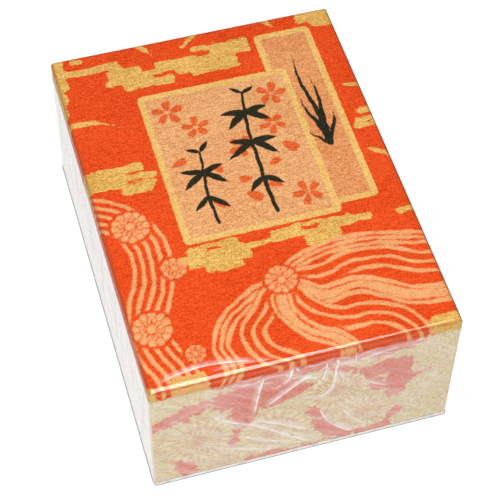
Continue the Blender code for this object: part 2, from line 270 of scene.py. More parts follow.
# ink sprays of bamboo: from, to, half width
inkStems = [((9.6, -15.0), (9.0, 2.2), 0.85), ((9.1, 3.4), (9.6, 20.6), 0.8),
            ((9.7, 21.8), (11.0, 36.2), 0.7), ((11.1, 37.2), (12.6, 46.0), 0.55),
            ((-13.6, -14.6), (-13.9, -2.0), 0.7), ((-13.9, -1.0), (-13.0, 10.4), 0.62),
            ((-13.0, 11.2), (-11.6, 20.6), 0.48)]
inkLeaves = [((9.6, 20.8), (-1.6, 13.4), 1.6), ((9.6, 21.0), (0.0, 22.6), 1.45),
             ((9.8, 21.2), (19.4, 12.2), 1.7), ((9.8, 21.0), (20.6, 20.4), 1.5),
             ((11.0, 36.4), (2.2, 28.6), 1.6), ((11.0, 36.6), (0.6, 36.8), 1.5),
             ((11.2, 36.8), (20.4, 29.6), 1.65), ((11.2, 36.8), (21.4, 37.8), 1.45),
             ((12.6, 46.0), (8.0, 51.0), 1.0), ((12.6, 46.0), (18.6, 48.6), 1.1),
             ((9.0, 2.8), (1.6, -4.2), 1.4), ((9.0, 2.8), (16.8, -3.4), 1.4),
             ((-13.0, 10.8), (-22.4, 3.6), 1.45), ((-13.0, 10.8), (-4.2, 2.6), 1.5),
             ((-13.0, 11.0), (-22.6, 12.4), 1.3), ((-12.8, 11.2), (-3.6, 13.2), 1.35),
             ((-11.6, 20.6), (-17.8, 23.6), 1.0), ((-11.6, 20.6), (-7.0, 25.8), 1.1),
             ((-13.9, -1.6), (-21.4, -8.2), 1.25), ((-13.9, -1.6), (-6.4, -8.8), 1.25)]
# ink blades of grass on the narrow slip, as curves with their half widths
inkBlades = [([(39.6, 11), (39.2, 28), (37.4, 46), (38.6, 64)], 0.95),
             ([(39.8, 11), (40.6, 26), (42.2, 38), (42.0, 49)], 0.95),
             ([(39.4, 11), (37.8, 22), (35.0, 31), (34.6, 39)], 0.85),
             ([(40.0, 11), (42.0, 18), (44.6, 23), (45.2, 30)], 0.8),
             ([(39.0, 11), (36.4, 15), (34.0, 17), (33.0, 21)], 0.7)]

# a tied bundle of peach ribbons: middle of each ribbon, its half width and if it is filled, back ones first
ribbonBundle = {
    "line": 0.84,
    "lineSway": (0.22, 0.35),
    "vein": 0.34,
    "veinSway": (0.5, 0.27),
    "veinPlace": (0.5, 0.1, 0.16),
    "root": (0.45, 16),
    "clear": 1.3,
    "middle": 0.1,
    "knotClear": 1.0,
    "knot": (1.5, -46.5, 6.2),
    "ribbons": [
        ([(1, -46), (12, -39.5), (27, -37), (41, -37.5), (53, -41), (72, -44)], 2.4, False),
        ([(1, -46), (-10, -51), (-21, -58), (-28, -69), (-26, -80), (-31, -94)], 2.6, False),
        ([(1, -46), (16, -49), (30, -45.5), (43, -47.5), (55, -53), (72, -56)], 4.4, False),
        ([(1, -46), (-8, -58), (-15, -66), (-13, -76), (-5, -84), (-8, -95)], 4.0, False),
        ([(1, -46), (13, -57), (27, -56.5), (38, -61), (48, -67), (72, -69)], 4.4, True),
        ([(1, -46), (6, -60), (17, -69), (30, -70), (40, -76), (44, -86), (42, -96)], 4.4, False),
        ([(1, -46), (-1, -60), (6, -72), (16, -80), (18, -95)], 3.8, True),
    ],
}
# a stream of parallel peach lines down the left side, with chrysanthemums that float on it: place and size
stream = {
    "middle": [(-84, 8), (-66, 4), (-51, -3), (-43, -17), (-44, -34), (-50, -49),
               (-51, -63), (-46, -78), (-45, -98)],
    "half": 8.4,
    "spacing": 3.5,
    "line": 0.78,
    "ends": (0.35, 14),
    "flowers": [(-46.6, -8.0, 7.2), (-35.4, -31.0, 4.8), (-50.0, -55.5, 7.6), (-37.4, -70.0, 3.8)],
    "petals": (12, 9),
    "large": 6.0,
    "turn": 0.1,
    "clear": 1.1,
}


# ribbons in order: each hides what is behind it and shows its edges and a middle line, or two veins if filled
def toBundle(p, bundle):
    best = np.full(len(p), nowhere)
    rootShare, rootLength = bundle["root"]
    for points, half, filled in bundle["ribbons"]:
        far, side, run, _ = toChain(p, smoothCurve(points))
        wide = half * np.clip(rootShare + run / rootLength, 0, 1)
        if filled:
            sway, pace = bundle["veinSway"]
            vein = bundle["vein"] * (1 + sway * np.sin(pace * run + side))
            place, reach, pace = bundle["veinPlace"]
            off = np.abs(far - wide * (place + reach * np.sin(pace * run)))
            lines = np.maximum(far - wide, vein - off)
        else:
            sway, pace = bundle["lineSway"]
            line = bundle["line"] * (1 + sway * np.sin(pace * run + half * side))
            lines = np.minimum(np.abs(far - wide), far + bundle["middle"]) - line
        best = np.minimum(np.maximum(best, wide + bundle["clear"] - far), lines)
    x, y, size = bundle["knot"]
    clear = np.hypot(p[:, 0] - x, p[:, 1] - y) - size - bundle["knotClear"]
    return np.minimum(np.maximum(best, -clear), toChrysanthemum(p, (x, y), size, stream["petals"][0]))


# parallel lines along a curve, inside a band that narrows at both ends, with flowers laid over them
def toStream(p, best):
    far, side, run, length = toChain(p, smoothCurve(stream["middle"]))
    off = far * side / stream["spacing"]
    strand = np.abs(off - np.round(off)) * stream["spacing"] - stream["line"]
    endShare, endLength = stream["ends"]
    taper = stream["half"] * np.clip(np.minimum(run, length - run) / endLength + endShare, 0, 1)
    best = np.minimum(best, np.maximum(strand, far - taper))
    large, small = stream["petals"]
    for x, y, size in stream["flowers"]:
        best = np.maximum(best, size + stream["clear"] - np.hypot(p[:, 0] - x, p[:, 1] - y))
        count = large if size > stream["large"] else small
        best = np.minimum(best, toChrysanthemum(p, (x, y), size, count, stream["turn"] * x))
    return best


# a hand's unsteadiness: points are read a little beside their places, by slow waves (share, paces, start)
handWaves = (
    ((1.0, 0.31, 0.17, 0.0), (0.6, -0.29, 0.83, 1.3), (0.15, 1.7, 0.9, 0.4)),
    ((1.0, -0.23, 0.27, 2.1), (0.6, 0.91, 0.37, 0.0), (0.15, -0.8, 1.9, 2.7)),
)


def unsteady(p, reach):
    x, y = p.T
    sway, lift = (sum(share * np.sin(a * x + b * y + c) for share, a, b, c in waves) for waves in handWaves)
    return p + reach * np.c_[sway, lift]


# where places on a side (along it, height over the table) lie on the unfolded sheet
def onSide(side, points, box):
    halfX, halfY, top = box
    along, height = np.array(points, float).T
    fall = top - height - printFit["rise"]
    return {"front": np.c_[along, -halfY - fall], "back": np.c_[along, halfY + fall],
            "left": np.c_[-halfX - fall, along], "right": np.c_[halfX + fall, along]}[side]


# middle on the unfolded sheet and size of every side flower
def flowersOn(box):
    return [(onSide(side, [(place, height)], box)[0], size)
            for side, places in sideFlowers.items() for place, height, size in places]


# gold ground of the sides: starts under the top's edge, opened by ovals of red, closed again by the flowers
def toGround(p, box):
    halfX, halfY, _ = box
    x, y = p.T
    fall = np.maximum(np.abs(x) - halfX, np.abs(y) - halfY)
    along = np.where(np.abs(x) > halfX, y / halfY, x / halfX)
    wide, steep = sideGround["dipWidth"]
    red = fall - sideGround["start"] - sideGround["dip"] * np.clip(wide - steep * along ** 2, 0, 1)
    for side, openings in sideOpenings.items():
        for place, height, long, short, turn in openings:
            quarter = math.pi / 2
            turned = {"front": turn, "back": -turn, "left": quarter - turn, "right": quarter + turn}[side]
            red = np.minimum(red, toOval(p, onSide(side, [(place, height)], box)[0], long, short, turned))
    flowers = np.full(len(p), nowhere)
    least, scallop = sideGround["rim"]
    for centre, size in flowersOn(box):
        away = p - centre
        angle = np.arctan2(away[:, 1], away[:, 0])
        rim = size * (least + scallop * np.abs(np.cos(sideGround["scallops"] * angle)))
        flowers = np.minimum(flowers, np.hypot(*away.T) - rim)
    return np.maximum(np.minimum(-red, flowers), sideGround["top"] - fall)


# all the distances that the covering paper's print needs, at points on the unfolded sheet
def printLayers(p, box):
    halfX, halfY, _ = box
    scale = printFit["sideScale"]
    coarse, fine = printFit["sideSway"]
    ground = toGround(unsteady(unsteady(p * scale, coarse) / scale, fine), box)
    steady = (p - printFit["shift"]) / printFit["size"]
    p = unsteady(steady, printFit["sway"])
    mist = np.full(len(p), nowhere)
    for group in ("back", "left", "front", "right", "corners"):
        for left, right, low, high in goldMist[group]:
            radius = min(goldMist["round"], min(high - low, right - left) / goldMist["limit"])
            mist = softUnion(mist, toPanel(p, left, right, low, high, radius), goldMist["soft"])
    stalks = [toBrush(p, points, half) for points, half in goldStalks]
    end = printFit["ribbonEnd"]
    ribbon = toStream(p, toBundle(p, ribbonBundle))
    ribbon = np.maximum(ribbon, np.maximum(-halfY - end - p[:, 1], -halfX - end - p[:, 0]))
    flowers = [toBlossom(p, (x, y), turn, size) for x, y, turn, size in blossoms]
    flowers += [toPetal(p, (x, y), turn, size) for x, y, turn, size in petals]
    ink = [toChain(p, (a, b))[0] - half for a, b, half in inkStems]
    ink += [toStroke(p, a, b, half) for a, b, half in inkLeaves]
    ink += [toBrush(p, points, half) for points, half in inkBlades]
    layers = {
        "mist": np.min([mist, *stalks, ground], axis=0),
        "ribbon": ribbon,
        "slip": toPanel(steady, *paperSlips["narrow"], paperSlips["corner"]),
        "card": toPanel(steady, *paperSlips["wide"], paperSlips["corner"]),
        "blossom": np.min(flowers, axis=0),
        "ink": np.min(ink, axis=0),
    }
    return {name: np.clip(value, -beyond, beyond) for name, value in layers.items()}


# for each face, its corners' places from the middle of the nearest side flower, in flower sizes
def flowerPlaces(sheet, face, box):
    corners = sheet[face]
    middle = corners.mean(1)
    best = np.full(len(face), nowhere)
    away = np.full(corners.shape, beyond)
    for centre, size in flowersOn(box):
        far = np.hypot(*(middle - centre).T) / size
        nearer = far < best
        best = np.where(nearer, far, best)
        away[nearer] = (corners[nearer] - centre) / size
    return away.reshape(-1, 2)


# five grids of a box without a bottom: points, places on the unfolded sheet, and quads that face outwards
def boxGrids(box, drop, nx, ny):
    halfX, halfY, top = box
    grids = []

    def addGrid(name, first, second, turned, shape):
        a, b = np.meshgrid(first, second, indexing="ij")
        points, sheet = (np.stack(np.broadcast_arrays(*part), -1).reshape(-1, len(part))
                         for part in shape(a, b))
        index = np.arange(a.size).reshape(a.shape)
        face = np.stack([index[:-1, :-1], index[1:, :-1], index[1:, 1:], index[:-1, 1:]], -1).reshape(-1, 4)
        grids.append((name, points, sheet, face[:, ::-1] if turned else face))

    x = np.linspace(-halfX, halfX, nx + 1)
    y = np.linspace(-halfY, halfY, ny + 1)
    addGrid("top", x, y, False, lambda a, b: ((a, b, top), (a, b)))
    for name, way, turned in (("front", -1, True), ("back", 1, False)):
        addGrid(name, x, drop, turned, lambda a, d: ((a, way * halfY, top - d), (a, way * (halfY + d))))
    for name, way, turned in (("left", -1, False), ("right", 1, True)):
        addGrid(name, y, drop, turned, lambda a, d: ((way * halfX, a, top - d), (way * (halfX + d), a)))
    return grids


# rounds a box: its top edge by a quarter circle of one radius, which gives every point an inset and a drop,
# its upright edges by another, as corners of the rectangle with that inset; gives places and ways outwards
def roundEdges(points, box, radius, upright):
    flat = points[:, :2]
    half, top = np.array(box[:2]), box[2]
    depth = half - np.abs(flat)
    inset = depth.min(1)
    drop = top - points[:, 2]
    away = np.c_[np.maximum(radius - inset, 0), np.maximum(radius - drop, 0)]
    bend = (inset < radius) & (drop < radius)
    away = away / np.maximum(np.hypot(*away.T), tiny)[:, None]
    newInset = np.where(bend, radius - radius * away[:, 0], inset)
    newDrop = np.where(bend, radius - radius * away[:, 1], drop)
    away = np.where(bend[:, None], away, np.c_[drop >= radius, drop < radius])
    onEdge = depth - inset[:, None] < 1e-6
    sharp = flat + np.sign(flat) * np.where(onEdge, (inset - newInset)[:, None], 0)
    corner = np.maximum(upright - newInset, 0.02)[:, None]
    limit = np.maximum(half - newInset[:, None] - corner, 0)
    core = np.clip(sharp, -limit, limit)
    out = sharp - core
    side = out / np.maximum(np.hypot(*out.T), tiny)[:, None]
    rim = (newInset < upright)[:, None]
    place = np.where(rim, core + side * corner, sharp)
    return np.c_[place, top - newDrop], np.c_[side * away[:, :1], away[:, 1]]


# points round a rectangle, spaced evenly along its four sides: front, right, back, left
def sharpRing(halfX, halfY, nx, ny):
    x = np.linspace(-halfX, halfX, nx, endpoint=False)
    y = np.linspace(-halfY, halfY, ny, endpoint=False)
    return np.vstack([np.c_[x, x * 0 - halfY], np.c_[y * 0 + halfX, y], np.c_[-x, x * 0 + halfY],
                      np.c_[y * 0 - halfX, -y]])


# the same with round corners: what stands out past the corners' middles is drawn in to the radius
def ringPoints(halfX, halfY, radius, nx, ny):
    sharp = sharpRing(halfX, halfY, nx, ny)
    core = np.clip(sharp, [radius - halfX, radius - halfY], [halfX - radius, halfY - radius])
    away = sharp - core
    return core + away * (radius / np.maximum(np.hypot(*away.T), tiny))[:, None]


# lays flat points at one height
def atHeight(ring, z):
    return np.c_[ring, np.full(len(ring), z)]


# quads between rings of equal length that follow each other
def ringQuads(ids):
    ids = np.array(ids)
    after = np.roll(ids, -1, axis=1)
    return np.stack([ids[:-1], after[:-1], after[1:], ids[1:]], -1).reshape(-1, 4)


# faces of a shell from so many rings of so many points, closed by a flat face at both ends
def shellFaces(rings, count, first=0):
    ids = first + np.arange(rings * count).reshape(rings, count)
    return ringQuads(ids).tolist() + [ids[0][::-1].tolist(), ids[-1].tolist()]


# puts points in mm and faces into a new object at the origin
def putMesh(name, points, faces, smooth=True):
    mesh = bpy.data.meshes.new(name)
    mesh.from_pydata((np.asarray(points) * mm).tolist(), [], [list(map(int, face)) for face in faces])
    mesh.polygons.foreach_set("use_smooth", np.full(len(mesh.polygons), smooth))
    mesh.update()
    made = bpy.data.objects.new(name, mesh)
    bpy.context.scene.collection.objects.link(made)
    return made


# writes one number for every corner of every face
def putCorners(obj, name, values):
    layer = obj.data.attributes.new(name, "FLOAT", "CORNER")
    layer.data.foreach_set("value", np.asarray(values, np.float32))


# gives a piece its finish and the body it rides on, and hides the CAD nodes that it stands for; the slot is
# not used
def dress(obj, finish, body, slot, *replaced):
    obj.data.materials.append(finish.material)
    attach(obj, body)
    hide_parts(*replaced)


# a map for baking: the unfolded sheet, the back's rings as a strip beside it, the closing face in a corner
def putBakeMap(obj, grids, box, fall, loops, cap, margin=0.01, shrink=0.92):
    halfX, halfY, _ = box
    span = 2 * (halfY + fall)
    reach = [halfX + fall, halfY + fall]
    outer = np.vstack([(sheet[face].reshape(-1, 2) + reach) / span for _, _, sheet, face in grids])
    k, j = np.meshgrid(np.arange(loops - 1), np.arange(len(cap)), indexing="ij")
    left = 2 * (halfX + fall) / span + margin
    across = left + (1 - margin - left) * np.stack([k + 1, k + 1, k, k], -1) / (loops - 1)
    along = margin / 2 + (1 - margin) * np.stack([j, j + 1, j + 1, j], -1) / len(cap)
    back = np.stack([across, along], -1).reshape(-1, 2)
    corner = 0.5 * fall / span * (1 + shrink * cap / halfY)
    layer = obj.data.uv_layers.new(name="OFBake")
    layer.data.foreach_set("uv", np.vstack([outer, back, corner]).astype(np.float32).ravel())


# a box skin open below: a fine outer face, its rows close round the edge and then even down to the rim, plain
# rings over the rim and up the back, and one flat face; carries marks, and one value for them behind
def boxSkin(name, box, skin, low, rings, marksOf, behind, push=None):
    halfX, halfY, top = box
    upright, radius = skin["upright"], skin["radius"]
    drop = np.r_[np.linspace(0, radius, skin["bend"]), np.linspace(radius, top - low, skin["rows"])[1:]]
    grids = boxGrids(box, drop, *skin["columns"])
    rim = atHeight(sharpRing(halfX, halfY, *skin["columns"]), top - drop[-1])
    sharp = np.vstack([points for _, points, _, _ in grids] + [rim])
    keys = np.round(sharp * 1e4).astype(np.int64)
    _, first, place = np.unique(keys, axis=0, return_index=True, return_inverse=True)
    place = place.ravel()
    points, way = roundEdges(sharp[first], box, radius, upright)
    if push is not None:
        points = points + way * push(sharp[first])[:, None]
    faces = []
    start = 0
    for _, own, _, face in grids:
        faces.append(place[start + face])
        start += len(own)
    loops = [place[start:]]
    rows = [points]
    count = len(points)
    for inset, z in rings:
        ring = ringPoints(halfX - inset, halfY - inset, max(upright - inset, leastRound), *skin["columns"])
        rows.append(atHeight(ring, z))
        loops.append(np.arange(count, count + len(ring)))
        count += len(ring)
    back = ringQuads(loops)[:, ::-1]
    made = putMesh(name, np.vstack(rows), np.vstack(faces + [back]).tolist() + [loops[-1][::-1].tolist()])
    putBakeMap(made, grids, box, drop[-1], len(loops), rows[-1][::-1, :2])
    layers = {}
    for grid in grids:
        for mark, value in marksOf(*grid).items():
            layers.setdefault(mark, []).append(value)
    rest = np.full(4 * len(back) + len(loops[-1]), behind)
    for mark, parts in layers.items():
        putCorners(made, mark, np.concatenate([*parts, rest]))
    return made


# inner rings of a skin of even thickness, from its rim up its back and over the rounded edge
def backRings(skin, low, top, steps=6):
    thick = skin["sheet"]
    inner = skin["radius"] - thick
    bend = np.linspace(math.pi / 2, 0, steps)
    over = [(thick + inner * (1 - math.sin(a)), top - thick - inner * (1 - math.cos(a))) for a in bend]
    return [(thick, low)] + over


# adds a shader node with its settings, and values or links for its inputs
def addNode(tree, kind, inputs=None, **settings):
    made = tree.nodes.new(kind)
    for key, value in settings.items():
        setattr(made, key, value)
    for key, value in (inputs or {}).items():
        if isinstance(value, Signal):
            tree.links.new(value.socket, made.inputs[key])
        else:
            made.inputs[key].default_value = value
    return made


# what a node gives out; sums written with it add the nodes that work them out
class Signal:
    def __init__(self, tree, socket):
        self.tree = tree
        self.socket = socket

    # one sum of this and another number
    def calc(self, operation, other=0.0, clamp=False):
        made = addNode(self.tree, "ShaderNodeMath", {0: self, 1: other}, operation=operation, use_clamp=clamp)
        return Signal(self.tree, made.outputs[0])

    def __add__(self, other):
        return self.calc("ADD", other)

    def __sub__(self, other):
        return self.calc("SUBTRACT", other)

    def __mul__(self, other):
        return self.calc("MULTIPLY", other)

    def __abs__(self):
        return self.calc("ABSOLUTE")

    # what is left of a whole number or share
    def leftOf(self, whole):
        return self * -1.0 + whole

    # maps a value from one range to another and holds it there
    def spread(self, low, high, toLow=0.0, toHigh=1.0):
        ends = {"Value": self, "From Min": low, "From Max": high, "To Min": toLow, "To Max": toHigh}
        return Signal(self.tree, addNode(self.tree, "ShaderNodeMapRange", ends).outputs[0])


# a finish in the making: a material or the surroundings, with the nodes that its looks are made of
class Finish:
    def __init__(self, material, places="Object"):
        material.use_nodes = True
        self.material = material
        self.tree = material.node_tree
        self.tree.nodes.clear()
        self.place = self.give("ShaderNodeTexCoord", out=places)

    # adds a node and gives one of its outputs
    def give(self, kind, inputs=None, out=0, **settings):
        return Signal(self.tree, addNode(self.tree, kind, inputs, **settings).outputs[out])

    # the parts of a colour or a place
    def split(self, kind, value):
        return [Signal(self.tree, socket) for socket in addNode(self.tree, kind, {0: value}).outputs]

    # noise of a scale, detail and roughness, drawn out along an axis where its stretch is below one
    def noise(self, scale, detail=2.0, rough=0.5, stretch=None, place=None, out="Fac"):
        place = place or self.place
        if stretch:
            place = self.give("ShaderNodeMapping", {"Vector": place, "Scale": stretch})
        inputs = {"Vector": place, "Scale": scale, "Detail": detail, "Roughness": rough}
        return self.give("ShaderNodeTexNoise", inputs, out)

    # a number that the piece's mesh carries at its corners
    def mark(self, name):
        return self.give("ShaderNodeAttribute", out="Fac", attribute_name=name)

    # whether a ray comes from the camera, from a mirroring surface or through a clear piece
    def rays(self):
        kinds = ("Camera", "Glossy", "Transmission")
        return [self.give("ShaderNodeLightPath", out=f"Is {kind} Ray") for kind in kinds]

    # goes from one colour to another by a share
    def mix(self, share, a, b):
        a, b = (value if isinstance(value, Signal) else (*value, 1.0) for value in (a, b))
        return self.give("ShaderNodeMix", {0: share, 6: a, 7: b}, 2, data_type="RGBA")

    # makes a shader the finish's surface
    def surface(self, shader, kind="ShaderNodeOutputMaterial"):
        addNode(self.tree, kind, {"Surface": shader})

    # joins colour, roughness and a fine relief into the surface
    def paper(self, colour, roughness, height, depth=0.05, specular=0.25):
        relief = self.give("ShaderNodeBump", {"Height": height, "Strength": 0.5, "Distance": depth * mm})
        inputs = {"Base Color": colour, "Roughness": roughness, "Specular IOR Level": specular,
                  "Normal": relief}
        self.surface(self.give("ShaderNodeBsdfPrincipled", inputs))


# an empty finish for a piece
def newFinish(name):
    return Finish(bpy.data.materials.new(name))


# covering paper: each layer covers those below it where its distance, made ragged by noise, is below zero
printInks = {
    "red": ((0.62, 0.034, 0.003), (0.97, 0.120, 0.022)),
    "gold": ((0.54, 0.250, 0.030), (1.00, 0.640, 0.200)),
    "edge": ((0.66, 0.340, 0.070), (1.00, 0.660, 0.240)),
    "peach": ((0.74, 0.270, 0.078), (0.96, 0.500, 0.232)),
    "slip": ((0.60, 0.160, 0.044), (0.93, 0.460, 0.190)),
    "card": ((0.62, 0.200, 0.060), (0.96, 0.560, 0.255)),
    "petal": ((0.60, 0.060, 0.010), (0.92, 0.190, 0.050)),
    "ink": ((0.008, 0.008, 0.004), (0.045, 0.040, 0.022)),
    "line": ((0.46, 0.130, 0.044), (0.76, 0.310, 0.120)),
    "ground": ((0.53, 0.370, 0.135), (0.83, 0.640, 0.310)),
    "crown": ((0.76, 0.610, 0.240), (1.00, 0.880, 0.480)),
    "paintedShadeRed": ((0.50, 0.045, 0.010), (0.85, 0.120, 0.028)),
}
# a grain is a noise's scale, detail and roughness; an edge is an offset, a roughness and a softness in mm
paperLook = {
    "grain": (1450, 2, 0.6), "fibre": (1500, 2, 0.5, (0.22, 1.0, 1.0)), "cloud": (45, 2, 0.5),
    "shares": (0.62, 0.26, 0.12), "mottle": (0.36, 0.64),
    "ragged": (800, 3, 0.65), "coarse": (760, 3, 0.7), "coarseMottle": (0.38, 0.60),
    "feathery": (430, 4, 0.7), "featherReach": 5.5,
    "streaky": (520, 3, 0.6, (0.3, 1.0, 1.0)), "streakReach": 3.2, "mistEdge": (0.3, 0.7),
    "ribbonEdge": (0.0, 0.45, 0.3), "slipEdge": 0.45, "blossomEdge": (-0.15, 0.4),
    "inkEdge": (0.0, 0.4, 0.12),
    "shadeAndWear": (0.24, 0.060, 0.014), "shadeAndWearRange": (0.35, 0.75), "roughness": 0.65,
}
lidPaper = newFinish("lidPaper")
grain = lidPaper.noise(*paperLook["grain"])
fibre = lidPaper.noise(*paperLook["fibre"])
cloud = lidPaper.noise(*paperLook["cloud"])
grainShare, fibreShare, cloudShare = paperLook["shares"]
mottle = (grain * grainShare + (fibre * fibreShare + cloud * cloudShare)).spread(*paperLook["mottle"])
ragged = (lidPaper.noise(*paperLook["ragged"]) - 0.5) * 2.0


# share of a printed layer: full inside its ragged edge, none outside
def layerMask(name, offset=0.0, rough=0.5, soft=0.16):
    return (lidPaper.mark(name) + offset + ragged * rough).spread(-soft, soft, 1.0, 0.0)


# an ink between its deep and its bright tone
def inkOf(name, share=mottle):
    return lidPaper.mix(share, *printInks[name])


# petals of the side flowers: the angle cut into equal parts, ring after ring set over by half a petal;
# gives the unevenly drawn lines between petals and the petals' bright crowns
petalLook = {"petals": 22, "rings": 2.1, "scallop": 0.30, "sway": 0.14, "swayGrain": (150, 3, 0.6),
             "gap": 2.4, "line": (0.09, 0.29), "lineRough": 0.05, "pressure": (330, 2, 0.6),
             "press": (0.36, 0.60, 0.2, 0.85), "fleckGrain": (560, 3, 0.65), "flecks": (0.54, 0.64),
             "fleckShare": 0.28, "heart": (0.1, 0.5), "reach": (0.9, 1.15)}


def petalLines():
    sway = lidPaper.split("ShaderNodeSeparateColor", lidPaper.noise(*petalLook["swayGrain"], out="Color"))
    x, y = (lidPaper.mark(name) + (off - 0.5) * petalLook["sway"]
            for name, off in zip(("flowerX", "flowerY"), sway))
    r = (x * x + y * y).calc("SQRT")
    turn = y.calc("ARCTAN2", x) * (petalLook["petals"] / (2 * math.pi))
    wave = abs((turn * math.pi).calc("SINE"))
    rings = r * petalLook["rings"] - wave * petalLook["scallop"]
    share = (turn + rings.calc("FLOOR") * 0.5).calc("FRACT")
    middle = abs(share - 0.5).leftOf(0.5)
    gap = middle * (r * petalLook["gap"])
    edge = abs((rings + 0.5).calc("FRACT") - 0.5)
    near = gap.calc("MINIMUM", edge) + ragged * petalLook["lineRough"]
    pressure = lidPaper.noise(*petalLook["pressure"]).spread(*petalLook["press"])
    flecks = lidPaper.noise(*petalLook["fleckGrain"]).spread(*petalLook["flecks"])
    drawn = near.spread(*petalLook["line"], 1.0, 0.0) * pressure
    drawn = drawn.calc("MAXIMUM", flecks * petalLook["fleckShare"])
    within = r.spread(*petalLook["reach"], 1.0, 0.0)
    return drawn * within, middle * r.spread(*petalLook["heart"]) * within


lines, crown = petalLines()
onSides = lidPaper.mark("side").spread(0.2, 0.8)
coarse = lidPaper.noise(*paperLook["coarse"]).spread(*paperLook["coarseMottle"])
# painted shade: on the sides the red is a darker copy of the top's red
colour = lidPaper.mix(onSides, inkOf("red"), inkOf("paintedShadeRed", coarse))
ground = lidPaper.mix(crown, inkOf("ground", coarse), inkOf("crown", coarse))
gold = lidPaper.mix(onSides, inkOf("gold"), lidPaper.mix(lines, ground, inkOf("line")))
feathery = (lidPaper.noise(*paperLook["feathery"]) - 0.5) * paperLook["featherReach"]
streaky = (lidPaper.noise(*paperLook["streaky"]) - 0.5) * paperLook["streakReach"]
uneven = lidPaper.give("ShaderNodeMix", {0: onSides, 2: streaky, 3: feathery})
mistOffset, mistRough = paperLook["mistEdge"]
colour = lidPaper.mix(layerMask("mist", uneven + mistOffset, mistRough), colour, gold)
colour = lidPaper.mix(layerMask("ribbon", *paperLook["ribbonEdge"]), colour, inkOf("peach"))
for layer in ("slip", "card"):
    colour = lidPaper.mix(layerMask(layer, 0.0, paperLook["slipEdge"]), colour, inkOf("edge"))
    inner = layerMask(layer, paperSlips["edge"], paperLook["slipEdge"])
    colour = lidPaper.mix(inner, colour, inkOf(layer))
colour = lidPaper.mix(layerMask("blossom", *paperLook["blossomEdge"]), colour, inkOf("petal"))
colour = lidPaper.mix(layerMask("ink", *paperLook["inkEdge"]), colour, inkOf("ink"))
# painted shade and wear: the print darkens to brown along the lid's rounded top edges, where the paper bends
# away from the lamps, with some real wear
shadeAndWear = lidPaper.mark("rim") * ragged.spread(-0.5, 0.5, *paperLook["shadeAndWearRange"])
colour = lidPaper.mix(shadeAndWear, colour, paperLook["shadeAndWear"])
lidPaper.paper(colour, paperLook["roughness"], grain, specular=0.0)
print("covering paper material ready")

# the lid's covering paper: outer face as a fine grid, rim, hem turned in on the inside, back of the sheet
lidSkin = {"radius": 1.7, "bend": 6, "upright": 1.1, "shadeAndWear": 1.2, "sheet": 0.2, "columns": (166, 232),
           "rows": 56, "hem": 14.0, "wall": 2.3, "sideStart": 3.5, "shadeAndWearStart": 1.3}
halfX, halfY, lidTop = lidBox
lidRim = lidLow[2]
wall, sheet = lidSkin["wall"], lidSkin["sheet"]
hemTop = lidRim + lidSkin["hem"]
rings = [(wall, lidRim), (wall, hemTop), (wall - sheet, hemTop), (wall - sheet, lidRim + sheet)]
rings += backRings(lidSkin, lidRim + sheet, lidTop)


# print, distance from the top and from the rim (the share of painted edge shade and wear), and places in
# flowers, at the corners of one grid of the lid
def lidMarks(_, points, sheet, face):
    marks = printLayers(sheet, lidBox)
    fall = lidTop - points[:, 2]
    inset = np.minimum(halfX - np.abs(points[:, 0]), halfY - np.abs(points[:, 1])) + fall
    marks["side"] = np.clip(fall - lidSkin["sideStart"], 0, 1)
    marks["rim"] = np.clip(lidSkin["shadeAndWearStart"] - inset / lidSkin["shadeAndWear"], 0, 1)
    corners = {name: value[face].ravel() for name, value in marks.items()}
    corners["flowerX"], corners["flowerY"] = flowerPlaces(sheet, face, lidBox).T
    return corners


lidCover = boxSkin("lidCover", lidBox, lidSkin, lidRim, rings, lidMarks, beyond)
dress(lidCover, lidPaper, "lid", "lid_paper", "lid_wrap")
print("lid cover ready,", len(lidCover.data.polygons), "faces")
